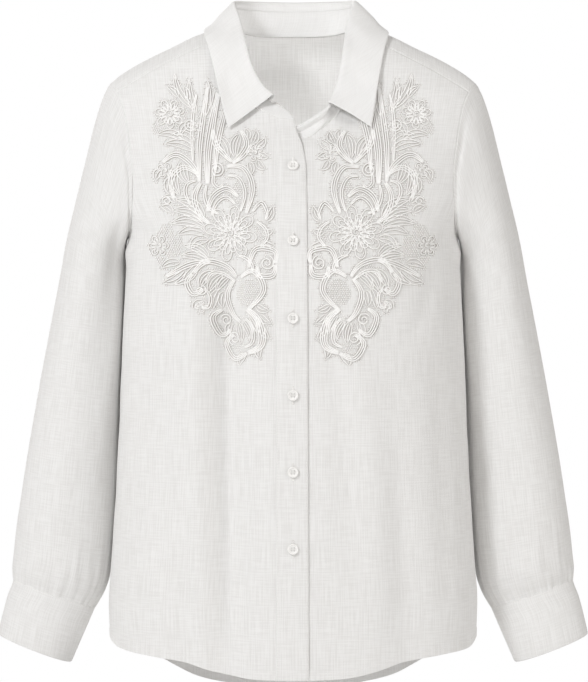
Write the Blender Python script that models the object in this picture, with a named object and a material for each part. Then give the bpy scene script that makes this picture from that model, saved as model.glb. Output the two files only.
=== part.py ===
"""Embroidered linen shirt: long sleeves, pointed collar, button front, filled out as on a wearer.

Every piece of cloth is a thin wall on one shared form. X runs to the viewer's right, Y away from
the viewer and Z up, with the origin at the middle of the shoulder line. Sizes are in millimetres
until the last step, which writes metres.
"""

import math

import bmesh
import bpy
import numpy as np
from mathutils import Matrix, Vector

METRES = 0.001

# Walls and clearances
CLOTH = 1.2
BAND = 1.8
FALL = 1.6
SEAM_HALF_GAP = 0.2
LAP_GAP = 0.5
REST_GAP = 0.9
LEAF_GAP = 2.8
STAND_GAP = 1.5
LEAF_START_GAP = 1.1

# Front band, buttons and cuffs
BAND_INNER_EDGE = 17.5
FRONT_EDGE_RIGHT = 16.0
FRONT_EDGE_LEFT = -14.0
BUTTON_RADIUS = 5.75
BUTTON_THICKNESS = 2.4
BUTTON_COUNT = 6
BUTTON_FIRST_HEIGHT = -142.5
BUTTON_PITCH = 79.5
BUTTON_SIDES = 12
BUTTON_RIM_WIDTH = 1.0
BUTTON_EDGE_ROUND = 0.8
BUTTON_DISH_DEPTH = 0.8
BUTTON_HOLE_OFFSET = 1.45
BUTTON_HOLE_RADIUS = 0.75
BUTTON_HOLE_SIDES = 5
BUTTON_HOLE_CUT = 4.0
CUFF_LAP_DEGREES = 22.5
CUFF_LAP_START = -75.0
CUFF_UNDER_STATIONS = 4
CUFF_STEP_STATIONS = 5.0
CUFF_BUTTON_STATION = -4

# Armhole and yoke
SHOULDER_HEIGHT = -48.6
UNDERARM_HEIGHT = -213.0
FRONT_SEAM_HEIGHT = -58.0
BACK_SEAM_HEIGHT = -95.0
SIDE_HEM_HEIGHT = -640.0

# How round the body is seen from above, and where the shoulder rolls over
FRONT_POWER = 2.3
BACK_POWER = 2.0
FRONT_ROLL = 50.0
BACK_ROLL = 45.0
ROUNDED_ABOVE = -150.0
SECTION_DEPTH_SHARE = 0.62
WIDEST_SHARE = 0.98
CURVE_STEPS = 1500
HEM_STEPS = 200
LEVEL_STEP = 0.02
LIFT_PASSES = 4

# Sections of each piece between its seams
SIDE_ROWS = 11
ARM_FRONT_ROWS = 8
ARM_BACK_ROWS = 8
ARM_YOKE_FRONT = 3
ARM_YOKE_BACK = 5
SEAM_COLUMNS = 7
NECK_YOKE_COLUMNS = 6
NECK_LEAF_COLUMNS = 5
NECK_END_SHARES = (1.3, 1.65, 2.0)
BAND_TOP_SHARE = 1.65
BAND_ROWS = 26
STAND_ROWS = 2
CUFF_ROWS = 2
GATHER_WAVES = 12
GATHER_SEGMENTS = 48
GATHER_HEIGHT = 1.6
ROLL_RADIUS = 2.7
LEAST_RISE = 0.6
LEAF_BELLY = 1.2
ROLL_DEGREES = (0.0, 60.0, 120.0)
LEAF_SHARES = (0.25, 0.5, 0.75, 1.0)
SHARP_WALL_DEGREES = 40.0
SHARP_BUTTON_DEGREES = 35.0

LINEN = (0.86, 0.845, 0.82)
LINEN_LIGHT = (0.9, 0.89, 0.87)
SHELL = (0.93, 0.92, 0.9)
LINEN_ROUGHNESS = 0.9
SHELL_ROUGHNESS = 0.35


def smooth(keys, values, at):
    """A curve through the values that never overshoots them."""
    keys = np.asarray(keys, float)
    values = np.asarray(values, float)
    step = np.diff(keys)
    rise = np.diff(values) / step
    slope = np.empty_like(values)
    slope[0] = rise[0]
    slope[-1] = rise[-1]
    same_way = rise[:-1] * rise[1:] > 0
    total = np.where(same_way, rise[:-1] + rise[1:], 1.0)
    slope[1:-1] = np.where(same_way, 2.0 * rise[:-1] * rise[1:] / total, 0.0)
    at = np.clip(np.asarray(at, float), keys[0], keys[-1])
    cell = np.clip(np.searchsorted(keys, at) - 1, 0, len(step) - 1)
    t = (at - keys[cell]) / step[cell]
    start = (1 + 2 * t) * (1 - t) ** 2 * values[cell] + t * (1 - t) ** 2 * step[cell] * slope[cell]
    end = t * t * (3 - 2 * t) * values[cell + 1] + t * t * (t - 1) * step[cell] * slope[cell + 1]
    return start + end


def ease(share):
    """From 0 to 1 with a level start and end."""
    share = np.clip(share, 0.0, 1.0)
    return share * share * (3 - 2 * share)


class Table:
    """Rows of sizes under named columns. The first column is the key and rises."""

    def __init__(self, columns, rows):
        self.columns = dict(zip(columns, np.array(rows, float).T))
        self.keys = self.columns[columns[0]]

    def read(self, column, at):
        return smooth(self.keys, self.columns[column], at)

    def rows(self):
        return zip(*self.columns.values())


# Level sections of the body
BODY = Table(
    ("height", "half_width", "front", "back", "middle"),
    (
        (-720.0, 195.0, 118.0, 109.0, -13.0),
        (-648.0, 196.5, 118.0, 107.0, -13.0),
        (-605.0, 197.6, 117.5, 105.5, -13.0),
        (-562.0, 195.0, 117.0, 104.0, -14.0),
        (-475.0, 189.5, 116.5, 101.0, -14.0),
        (-389.0, 185.5, 117.0, 98.0, -14.0),
        (-302.0, 182.0, 118.5, 97.0, -14.0),
        (-259.0, 179.5, 116.0, 99.0, -13.5),
        (-213.0, 176.0, 105.0, 100.0, -12.0),
        (-178.0, 190.0, 93.0, 99.0, -10.0),
        (-130.0, 203.0, 72.0, 95.0, -6.5),
        (-84.0, 213.5, 52.0, 88.0, -2.5),
        (-48.0, 221.0, 45.0, 82.0, 0.0),
        (20.0, 232.0, 38.0, 76.0, 0.0),
    ),
)

# The shoulder's ridge, from the neck outwards
RIDGE = Table(
    ("out", "height"),
    (
        (0.0, 18.0),
        (66.0, 15.0),
        (102.0, 5.4),
        (130.0, -8.0),
        (160.0, -22.5),
        (186.0, -38.0),
        (198.7, SHOULDER_HEIGHT),
        (232.0, -80.0),
    ),
)

ARMHOLE = Table(
    ("height", "front", "back"),
    (
        (UNDERARM_HEIGHT, 176.0, 176.0),
        (-206.0, 173.2, 175.0),
        (-195.0, 171.2, 174.2),
        (-178.0, 170.6, 174.0),
        (-146.0, 170.4, 175.5),
        (-120.0, 173.6, 178.0),
        (-90.0, 178.2, 182.2),
        (-74.0, 182.0, 186.6),
        (-61.0, 187.0, 190.8),
        (-52.5, 192.6, 194.8),
        (SHOULDER_HEIGHT, 198.7, 198.7),
    ),
)

FRONT_SEAM = Table(
    ("out", "height"),
    ((71.0, 2.4), (95.0, -8.0), (130.0, -24.5), (154.0, -37.0), (188.6, FRONT_SEAM_HEIGHT)),
)

# The neckline over the yoke, rolled from the back (above 0) over the ridge (0) to the front
NECK_YOKE = Table(
    ("share", "out", "roll"),
    ((0.0, 0.0, 29.0), (0.25, 31.0, 27.0), (0.5, 55.0, 19.0), (0.75, 69.0, 0.0), (1.0, 71.0, -33.4)),
)

# The neckline down each front to the end of the collar's leaf, and on to the end of the stand
NECK_RIGHT = Table(
    ("share", "out", "height"),
    (
        (0.0, 71.0, 2.4),
        (0.2, 69.5, -13.0),
        (0.45, 62.5, -38.0),
        (0.7, 48.0, -63.0),
        (0.9, 31.0, -82.0),
        (1.0, 23.5, -85.5),
        (1.3, 16.0, -88.0),
        (1.65, 7.5, -90.0),
        (2.0, -1.0, -91.0),
    ),
)
NECK_LEFT = Table(
    ("share", "out", "height"),
    (
        (0.0, 71.0, 2.4),
        (0.2, 70.0, -14.0),
        (0.45, 65.0, -41.0),
        (0.7, 55.0, -68.0),
        (0.9, 43.0, -88.0),
        (1.0, 37.0, -94.0),
        (1.3, 22.0, -105.0),
        (1.65, 5.0, -111.0),
        (2.0, -14.0, -113.0),
    ),
)

# Where the collar rolls over and where its leaf ends, from the back to the leaf's front end
COLLAR_RIGHT = Table(
    ("share", "roll_x", "roll_y", "roll_z", "edge_x", "edge_y", "edge_z"),
    (
        (0.0, 0.0, 50.0, 46.0, 0.0, 62.0, 4.0),
        (0.14, 30.0, 45.5, 46.0, 40.0, 57.0, 4.0),
        (0.27, 52.0, 29.0, 44.3, 72.0, 38.0, 7.0),
        (0.4, 61.3, 4.0, 40.0, 93.5, 6.0, 9.5),
        (0.5, 60.5, -12.0, 27.0, 94.5, -14.0, 3.5),
        (0.6, 57.2, -20.0, 8.0, 90.0, -32.0, -12.0),
        (0.7, 52.5, -26.0, -14.0, 85.0, -43.0, -32.0),
        (0.8, 46.0, -30.0, -35.0, 79.5, -52.0, -56.0),
        (0.9, 36.5, -35.0, -55.0, 74.0, -58.0, -79.0),
        (1.0, 23.5, -41.0, -68.5, 68.5, -64.0, -99.6),
    ),
)
COLLAR_LEFT = Table(
    ("share", "roll_x", "roll_y", "roll_z", "edge_x", "edge_y", "edge_z"),
    (
        (0.0, 0.0, 50.0, 46.0, 0.0, 62.0, 4.0),
        (0.14, 31.0, 45.5, 46.0, 42.0, 57.0, 4.0),
        (0.27, 54.0, 29.0, 44.3, 76.0, 38.0, 6.5),
        (0.4, 64.3, 4.0, 41.5, 100.5, 6.0, 7.5),
        (0.5, 63.3, -12.0, 28.0, 101.5, -14.0, 1.5),
        (0.6, 60.5, -19.0, 6.0, 97.5, -32.0, -13.0),
        (0.7, 57.0, -26.0, -17.0, 93.5, -44.0, -34.0),
        (0.8, 52.5, -35.0, -39.0, 89.5, -51.0, -56.0),
        (0.9, 46.0, -46.0, -58.0, 86.2, -57.0, -78.0),
        (1.0, 38.0, -57.5, -74.0, 82.7, -62.0, -99.0),
    ),
)

# The stand's top past the leaf's front end, over the same shares as the neckline
STAND_END_RIGHT = Table(
    ("share", "top_x", "top_y", "top_z"),
    (
        (1.0, 23.5, -42.5, -70.0),
        (1.3, 16.5, -44.0, -72.5),
        (1.65, 7.0, -47.0, -78.5),
        (2.0, -1.0, -52.5, -87.0),
    ),
)
STAND_END_LEFT = Table(
    ("share", "top_x", "top_y", "top_z"),
    (
        (1.0, 38.0, -56.5, -75.5),
        (1.3, 22.0, -57.0, -87.0),
        (1.65, 5.5, -58.5, -97.0),
        (2.0, -14.0, -61.0, -105.0),
    ),
)

# How much of the way up to the roll the stand reaches, from the back to the leaf's front end
STAND_HEIGHT = Table(
    ("along", "of_roll"),
    ((0.0, 0.72), (0.35, 0.76), (0.75, 0.86), (1.0, 0.93)),
)

# The free edge of the front band, which opens towards the neck
BAND_EDGE = Table(
    ("height", "out"),
    (
        (-680.0, -16.5),
        (-300.0, -15.0),
        (-180.0, -14.4),
        (-146.0, -13.6),
        (-120.0, -10.0),
        (-104.0, -4.2),
        (-90.0, -1.0),
    ),
)

HEM_FRONT = Table(
    ("out", "height"),
    (
        (-17.0, -676.0),
        (20.0, -676.0),
        (55.0, -674.0),
        (84.0, -668.5),
        (116.0, -659.0),
        (155.0, -653.0),
        (186.0, -648.0),
        (196.4, SIDE_HEM_HEIGHT),
    ),
)
HEM_BACK = Table(
    ("out", "height"),
    (
        (0.0, -710.0),
        (50.0, -708.0),
        (85.0, -702.0),
        (110.0, -694.0),
        (150.0, -671.0),
        (186.0, -650.0),
        (196.4, SIDE_HEM_HEIGHT),
    ),
)

# Each sleeve's rings: the outer and the inner point seen from the front, then depth
SLEEVE = Table(
    ("along", "outer_x", "outer_z", "inner_x", "inner_z", "middle_y", "half_depth"),
    (
        (0.0, 198.7, SHOULDER_HEIGHT, 176.0, UNDERARM_HEIGHT, -4.5, 53.0),
        (15.0, 205.2, -62.0, 178.2, -216.5, -3.0, 54.5),
        (40.0, 213.2, -86.0, 179.8, -221.5, -1.0, 56.5),
        (85.0, 224.4, -130.0, 180.6, -230.0, 4.0, 58.0),
        (130.0, 235.0, -173.0, 180.8, -241.0, 9.0, 58.0),
        (174.0, 245.4, -216.0, 180.8, -256.0, 13.0, 57.5),
        (218.0, 253.4, -259.0, 180.8, -281.0, 15.0, 56.5),
        (262.0, 261.8, -302.0, 181.6, -315.0, 16.0, 55.0),
        (350.0, 277.8, -389.0, 185.0, -402.0, 14.0, 51.5),
        (437.0, 291.8, -475.0, 190.0, -489.0, 9.0, 47.0),
        (481.0, 297.2, -518.0, 193.4, -535.0, 5.0, 44.0),
        (520.0, 300.4, -556.0, 199.0, -577.0, 2.0, 40.0),
        (536.0, 301.8, -570.0, 205.0, -595.0, 1.0, 35.0),
        (549.0, 301.3, -581.0, 213.8, -611.0, 0.0, 28.5),
        (570.0, 308.0, -601.5, 223.0, -632.0, -1.0, 30.0),
        (612.0, 317.5, -640.4, 239.8, -670.7, -3.0, 30.5),
    ),
)
CUFF_SEAM = 549.0
CUFF_END = 612.0
GATHER_START = 495.0
GATHER_FULL = 530.0
SLEEVE_ROWS = (0, 8, 20, 38, 62, 90, 120, 152, 186, 224, 266, 312, 360, 408, 452, 484)
GATHER_ROWS = (500, 513, 525, 537, 549)
ARMHOLE_FADE = 150.0
UNDERARM_EASE = 15.0
FOLD_FADE = 60.0
SLEEVE_TOP_RINGS = (0.0, 6.0, 12.0)

# Soft vertical folds of the body: around it in quarter turns from the front middle, where they
# begin, where they are full, how far they stand out (below 0 is a trough) and how wide they are
BODY_FOLDS = Table(
    ("around", "begins", "full", "stands", "spread"),
    (
        (-1.75, -330.0, -640.0, 4.0, 0.12),
        (-1.48, -250.0, -600.0, -6.0, 0.1),
        (-0.64, -320.0, -600.0, 3.0, 0.11),
        (-0.43, -280.0, -560.0, -7.5, 0.085),
        (-0.26, -320.0, -600.0, 2.5, 0.08),
        (0.46, -420.0, -650.0, -3.5, 0.1),
        (0.7, -260.0, -600.0, 3.0, 0.13),
        (1.4, -270.0, -600.0, -5.5, 0.11),
        (1.66, -340.0, -640.0, 4.0, 0.12),
    ),
)

# Creases of a sleeve: along it, degrees round it (front above 0), how far they stand, lengths
SLEEVE_FOLDS = Table(
    ("along", "turn", "stands", "half_length", "half_turn"),
    (
        (120.0, 128.0, -3.5, 95.0, 13.0),
        (230.0, 66.0, 2.0, 110.0, 22.0),
        (300.0, -100.0, -3.5, 80.0, 26.0),
        (352.0, 150.0, -3.0, 60.0, 20.0),
        (392.0, -60.0, -2.5, 60.0, 24.0),
        (452.0, 100.0, -2.0, 60.0, 16.0),
    ),
)


def across_curve(power):
    """Arc share, width share and depth share along a quarter of the body's level section."""
    turn = np.linspace(0.0, math.pi / 2, CURVE_STEPS)
    wide = np.sin(turn) ** (2 / power)
    deep = np.cos(turn) ** (2 / power)
    deep[-1] = 0.0
    steps = np.hypot(np.diff(wide), SECTION_DEPTH_SHARE * np.diff(deep))
    arc = np.concatenate([[0.0], np.cumsum(steps)])
    return arc / arc[-1], wide, deep


CURVES = {-1: across_curve(FRONT_POWER), 1: across_curve(BACK_POWER)}


def arc_share(out, height, side):
    """How far round a quarter of the body a point lies, from its distance off the middle."""
    arc, wide, _ = CURVES[side]
    share = np.asarray(out, float) / BODY.read("half_width", height)
    return np.sign(share) * np.interp(np.abs(share), wide, arc)


def roll_over(fall, side):
    """Depth share where the shoulder rolls over, from the height below its ridge."""
    radius = np.where(np.asarray(side) < 0, FRONT_ROLL, BACK_ROLL)
    left = 1 - np.clip(fall / radius, 0.0, 1.0)
    return np.sqrt(1 - left * left)


def panel_points(arc, height, side):
    """Points of the body's form at an arc share and a height, on the front (-1) or back (1)."""
    arcs, wide, deep = CURVES[side]
    out = BODY.read("half_width", height) * np.interp(np.abs(arc), arcs, wide) * np.sign(arc)
    depth = BODY.read("front" if side < 0 else "back", height) * np.interp(np.abs(arc), arcs, deep)
    over = roll_over(RIDGE.read("height", np.abs(out)) - height, side)
    y = BODY.read("middle", height) + side * depth * over
    return np.stack([out, y, height + 0 * out], axis=-1)


def yoke_points(out, roll):
    """Points of the body's form by the distance rolled over the shoulder's ridge, 0 on it."""
    side = np.where(roll < 0, -1, 1)
    radius = np.where(roll < 0, FRONT_ROLL, BACK_ROLL)
    rolled = np.abs(roll)
    quarter = radius * math.pi / 2
    fall = np.where(rolled < quarter, radius * (1 - np.cos(rolled / radius)), radius + rolled - quarter)
    height = RIDGE.read("height", np.abs(out)) - fall
    power = np.where(side < 0, FRONT_POWER, BACK_POWER)
    share = np.abs(out) / BODY.read("half_width", height)
    across = (1 - share**power) ** (1 / power)
    depth = np.where(side < 0, BODY.read("front", height), BODY.read("back", height))
    y = BODY.read("middle", height) + side * depth * across * roll_over(fall, side)
    return np.stack([out, y, height], axis=-1)


def roll_at(out, height, side):
    """The distance rolled over the ridge down to a height."""
    radius = FRONT_ROLL if side < 0 else BACK_ROLL
    fall = RIDGE.read("height", np.abs(out)) - height
    inside = radius * np.arccos(np.clip(1 - fall / radius, -1.0, 1.0))
    return side * np.where(fall < radius, inside, radius * math.pi / 2 + fall - radius)


def body_level(points, rounded):
    """Above 0 outside the body's form, 0 on it. The rounded kind serves the shoulders."""
    x, y, z = np.moveaxis(points, -1, 0)
    away = y - BODY.read("middle", z)
    side = np.where(away < 0, -1, 1)
    depth = np.where(side < 0, BODY.read("front", z), BODY.read("back", z))
    power = np.where(side < 0, FRONT_POWER, BACK_POWER)
    share = np.abs(x) / BODY.read("half_width", z)
    if not rounded:
        return share**power + (np.abs(away) / depth) ** power - 1
    across = (1 - np.clip(share, 0.0, WIDEST_SHARE) ** power) ** (1 / power)
    radius = np.where(side < 0, FRONT_ROLL, BACK_ROLL)
    left = 1 - np.minimum((RIDGE.read("height", np.abs(x)) - z) / radius, 1.0)
    return (away / (depth * across)) ** 2 - 1 + left * left


def slope_of(points, rounded):
    """The direction and rate at which the body's level rises."""
    parts = []
    for axis in range(3):
        move = np.zeros(3)
        move[axis] = LEVEL_STEP
        rise = body_level(points + move, rounded) - body_level(points - move, rounded)
        parts.append(rise / (2 * LEVEL_STEP))
    return np.stack(parts, axis=-1)


def body_normals(points):
    """Unit directions straight out of the body's form."""
    upper = points[..., 2:] > ROUNDED_ABOVE
    slope = np.where(upper, slope_of(points, True), slope_of(points, False))
    return slope / np.linalg.norm(slope, axis=-1, keepdims=True)


def lift_clear(points, clear, rounded):
    """Points moved straight out of the body's form until they clear it."""
    points = np.array(points)
    for _ in range(LIFT_PASSES):
        slope = slope_of(points, rounded)
        size = np.linalg.norm(slope, axis=-1, keepdims=True)
        gap = body_level(points, rounded)[..., None] / size
        points += np.maximum(clear - gap, 0.0) * slope / size
    return points


def body_folds(around, height):
    """How far the cloth of the body stands out of its form."""
    total = 0.0
    for place, begins, full, stands, spread in BODY_FOLDS.rows():
        along = ease((begins - height) / (begins - full))
        total = total + stands * along * np.exp(-(((around - place) / spread) ** 2))
    return total


def armhole_points(turn):
    """Armhole points by degrees from the shoulder tip: front above 0, underarm at 180."""
    turn = np.asarray(turn, float)
    middle = (SHOULDER_HEIGHT + UNDERARM_HEIGHT) / 2
    half = (SHOULDER_HEIGHT - UNDERARM_HEIGHT) / 2
    height = middle + half * np.cos(np.radians(turn))
    front = panel_points(arc_share(ARMHOLE.read("front", height), height, -1), height, -1)
    back = panel_points(arc_share(ARMHOLE.read("back", height), height, 1), height, 1)
    return np.where((turn > 0)[..., None], front, back)


def armhole_turn(height):
    middle = (SHOULDER_HEIGHT + UNDERARM_HEIGHT) / 2
    half = (SHOULDER_HEIGHT - UNDERARM_HEIGHT) / 2
    return math.degrees(math.acos((height - middle) / half))


FRONT_TURN = armhole_turn(FRONT_SEAM_HEIGHT)
BACK_TURN = armhole_turn(BACK_SEAM_HEIGHT)


def armhole_turns():
    """The armhole's stations in degrees, from the underarm up the front and down the back."""
    front = np.linspace(180.0, FRONT_TURN, ARM_FRONT_ROWS + 1)
    yoke_front = np.linspace(FRONT_TURN, 0.0, ARM_YOKE_FRONT + 1)
    yoke_back = np.linspace(0.0, -BACK_TURN, ARM_YOKE_BACK + 1)
    back = np.linspace(-BACK_TURN, -180.0, ARM_BACK_ROWS + 1)
    return front, np.concatenate([yoke_front, yoke_back[1:]]), back


def filled(bottom, top, left, right):
    """A grid of values between four edges, each an array of points with matching corners."""
    u = np.linspace(0.0, 1.0, len(bottom))[None, :, None]
    v = np.linspace(0.0, 1.0, len(left))[:, None, None]
    between = (1 - v) * bottom[None] + v * top[None] + (1 - u) * left[:, None] + u * right[:, None]
    corners = (1 - v) * ((1 - u) * bottom[0] + u * bottom[-1]) + v * ((1 - u) * top[0] + u * top[-1])
    return between - corners


def pairs(first, second):
    return np.stack(np.broadcast_arrays(first, second), axis=-1).astype(float)


def neck_shares(panel_only, right):
    """Shares of the front neckline's stations from the yoke to its end."""
    leaf = np.linspace(0.0, 1.0, NECK_LEAF_COLUMNS + 1)
    end = np.array(NECK_END_SHARES)
    if panel_only and right:
        end = end[:1]
    return np.concatenate([leaf, end])


def front_seam_outs():
    corner = ARMHOLE.read("front", FRONT_SEAM_HEIGHT)
    return np.linspace(FRONT_SEAM.keys[0], corner, SEAM_COLUMNS + 1)


def front_grid(right):
    """Arc shares and heights of one front, from its middle edge to the side and up."""
    neck = NECK_RIGHT if right else NECK_LEFT
    shares = neck_shares(True, right)[::-1]
    seam = front_seam_outs()
    top_out = np.concatenate([neck.read("out", shares), seam[1:]])
    top_height = np.concatenate([neck.read("height", shares), FRONT_SEAM.read("height", seam[1:])])
    top = pairs(arc_share(top_out, top_height, -1), top_height)
    edge_out = FRONT_EDGE_RIGHT if right else FRONT_EDGE_LEFT
    rows = SIDE_ROWS + ARM_FRONT_ROWS
    heights = np.linspace(HEM_FRONT.read("height", edge_out), top_height[0], rows + 1)
    left = pairs(arc_share(edge_out, heights, -1), heights)
    side_heights = np.linspace(SIDE_HEM_HEIGHT, UNDERARM_HEIGHT, SIDE_ROWS + 1)
    side = pairs(1.0, side_heights)
    front_turns, _, _ = armhole_turns()
    arm = armhole_points(front_turns[1:])
    right_edge = np.concatenate([side, pairs(arc_share(arm[:, 0], arm[:, 2], -1), arm[:, 2])])
    outs = np.linspace(edge_out, BODY.read("half_width", SIDE_HEM_HEIGHT), HEM_STEPS)
    hem_height = HEM_FRONT.read("height", outs)
    hem_line = pairs(arc_share(outs, hem_height, -1), hem_height)
    hem_line[-1] = (1.0, SIDE_HEM_HEIGHT)
    hem = hem_at_equal_arcs(hem_line, len(top))
    return filled(hem, top, left, right_edge)


def hem_at_equal_arcs(line, count):
    """Hem stations at equal arc shares."""
    arcs = np.linspace(line[0, 0], line[-1, 0], count)
    return pairs(arcs, np.interp(arcs, line[:, 0], line[:, 1]))


def back_grid():
    """Arc shares and heights of the back's half, from its middle to the side and up."""
    columns = NECK_YOKE_COLUMNS + SEAM_COLUMNS
    corner = ARMHOLE.read("back", BACK_SEAM_HEIGHT)
    outs = np.linspace(0.0, corner, columns + 1)
    top = pairs(arc_share(outs, BACK_SEAM_HEIGHT, 1), BACK_SEAM_HEIGHT)
    rows = SIDE_ROWS + ARM_BACK_ROWS
    heights = np.linspace(HEM_BACK.read("height", 0.0), BACK_SEAM_HEIGHT, rows + 1)
    left = pairs(0.0, heights)
    side_heights = np.linspace(SIDE_HEM_HEIGHT, UNDERARM_HEIGHT, SIDE_ROWS + 1)
    _, _, back_turns = armhole_turns()
    arm = armhole_points(back_turns[-2::-1])
    side = pairs(1.0, side_heights)
    right_edge = np.concatenate([side, pairs(arc_share(arm[:, 0], arm[:, 2], 1), arm[:, 2])])
    outs = np.linspace(0.0, BODY.read("half_width", SIDE_HEM_HEIGHT), HEM_STEPS)
    hem_height = HEM_BACK.read("height", outs)
    hem_line = pairs(arc_share(outs, hem_height, 1), hem_height)
    hem_line[-1] = (1.0, SIDE_HEM_HEIGHT)
    return filled(hem_at_equal_arcs(hem_line, len(top)), top, left, right_edge)


def yoke_grid():
    """Distances out and rolls of the yoke's half, from the back seam to the neck and front seam."""
    columns = NECK_YOKE_COLUMNS + SEAM_COLUMNS
    corner = ARMHOLE.read("back", BACK_SEAM_HEIGHT)
    outs = np.linspace(0.0, corner, columns + 1)
    bottom = pairs(outs, roll_at(outs, BACK_SEAM_HEIGHT, 1))
    shares = np.linspace(0.0, 1.0, NECK_YOKE_COLUMNS + 1)
    neck = pairs(NECK_YOKE.read("out", shares), NECK_YOKE.read("roll", shares))
    seam_outs = front_seam_outs()
    seam = pairs(seam_outs, roll_at(seam_outs, FRONT_SEAM.read("height", seam_outs), -1))
    neck[-1] = seam[0]
    top = np.concatenate([neck, seam[1:]])
    rows = ARM_YOKE_FRONT + ARM_YOKE_BACK
    left = pairs(0.0, np.linspace(bottom[0, 1], top[0, 1], rows + 1))
    _, turns, _ = armhole_turns()
    arm = armhole_points(turns[::-1])
    sides = np.where(turns[::-1] > 0, -1, 1)
    rolls = [float(roll_at(p[0], p[2], s)) for p, s in zip(arm, sides)]
    right_edge = pairs(arm[:, 0], np.array(rolls))
    right_edge[0] = bottom[-1]
    right_edge[-1] = top[-1]
    return filled(bottom, top, left, right_edge)


def directions(lines):
    """Lines of any length made one long."""
    return lines / np.linalg.norm(lines, axis=-1, keepdims=True)


def mirrored(points):
    return points * np.array([-1.0, 1.0, 1.0])


def sleeve_row(along, turns):
    """One ring of a sleeve at its stations, on its own oval form."""
    outer = np.array([SLEEVE.read("outer_x", along), SLEEVE.read("outer_z", along)])
    inner = np.array([SLEEVE.read("inner_x", along), SLEEVE.read("inner_z", along)])
    middle = (outer + inner) / 2
    reach = (outer - inner) / 2
    cos = np.cos(np.radians(turns))
    sin = np.sin(np.radians(turns))
    x = middle[0] + reach[0] * cos
    z = middle[1] + reach[1] * cos
    y = SLEEVE.read("middle_y", along) - SLEEVE.read("half_depth", along) * sin
    return np.stack([x, y, z], axis=-1)


def sleeve_turns(along, finer):
    """Ring stations in degrees: the armhole's own at the top, evenly spaced lower down."""
    front, yoke, back = armhole_turns()
    own = np.concatenate([front, yoke[1:], back[1:-1]])
    even = 180.0 - np.arange(len(own)) * 360.0 / len(own)
    turns = own + (even - own) * ease(along / ARMHOLE_FADE)
    if not finer:
        return turns
    closed = np.append(turns, turns[0] - 360.0)
    return np.stack([closed[:-1], (closed[:-1] + closed[1:]) / 2], axis=1).reshape(-1)


def sleeve_folds(along, turns):
    total = 0.0
    for place, turn, stands, half_length, half_turn in SLEEVE_FOLDS.rows():
        away = (turns - turn + 180.0) % 360.0 - 180.0
        reach = ((along - place) / half_length) ** 2 + (away / half_turn) ** 2
        total = total + stands * np.exp(-reach)
    return total


def gathers(along, turns):
    """The small waves where the sleeve is gathered into its cuff."""
    rising = ease((along - GATHER_START) / (GATHER_FULL - GATHER_START))
    falling = ease((CUFF_SEAM - along) / (CUFF_SEAM - GATHER_FULL))
    return GATHER_HEIGHT * rising * falling * np.cos(np.radians(turns * GATHER_WAVES))


def sleeve_point_row(along, turns):
    """One ring of the sleeve's cloth: its form, eased from the armhole, with its folds."""
    row = sleeve_row(along, turns)
    at_armhole = armhole_points((turns + 180.0) % 360.0 - 180.0) - sleeve_row(0.0, turns)
    row = row + at_armhole * (1 - ease(along / ARMHOLE_FADE))[..., None]
    middle = sleeve_row(along, np.array([0.0, 180.0])).mean(axis=0)
    outward = row - middle
    outward = outward / np.linalg.norm(outward, axis=-1, keepdims=True)
    stands = sleeve_folds(along, turns) * ease(along / FOLD_FADE) + gathers(along, turns)
    row = row + outward * np.asarray(stands)[..., None]
    below = ease((UNDERARM_HEIGHT - row[..., 2:]) / UNDERARM_EASE)
    return row + (lift_clear(row, REST_GAP, False) - row) * below


def grid_triangles(rows, columns, closed=False):
    """Triangles of a grid of points, all turning the same way."""
    faces = []
    wide = columns if closed else columns - 1
    for row in range(rows - 1):
        for column in range(wide):
            a = row * columns + column
            b = row * columns + (column + 1) % columns
            faces.append((a, b, b + columns))
            faces.append((a, b + columns, a + columns))
    return faces


def finer_triangles(start, count):
    """Triangles between a ring and the next ring, which has twice its points."""
    faces = []
    for column in range(count):
        a = start + column
        b = start + (column + 1) % count
        first = start + count + 2 * column
        last = start + count + (2 * column + 2) % (2 * count)
        faces.append((a, first + 1, first))
        faces.append((a, b, first + 1))
        faces.append((b, last, first + 1))
    return faces


def vertex_normals(points, faces):
    """Directions out of a surface of triangles at its points."""
    faces = np.asarray(faces)
    corners = points[faces]
    turned = np.cross(corners[:, 1] - corners[:, 0], corners[:, 2] - corners[:, 0])
    normals = np.zeros_like(points)
    for corner in range(3):
        np.add.at(normals, faces[:, corner], turned)
    return normals / np.linalg.norm(normals, axis=1, keepdims=True)


def material(name, colour, roughness):
    made = bpy.data.materials.new(name)
    made.use_nodes = True
    shader = made.node_tree.nodes["Principled BSDF"]
    shader.inputs["Base Color"].default_value = (*colour, 1.0)
    shader.inputs["Roughness"].default_value = roughness
    shader.inputs["Metallic"].default_value = 0.0
    made.diffuse_color = (*colour, 1.0)
    return made


def linen(piece, colour):
    return material(f"linen_{piece}", colour, LINEN_ROUGHNESS)


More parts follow.
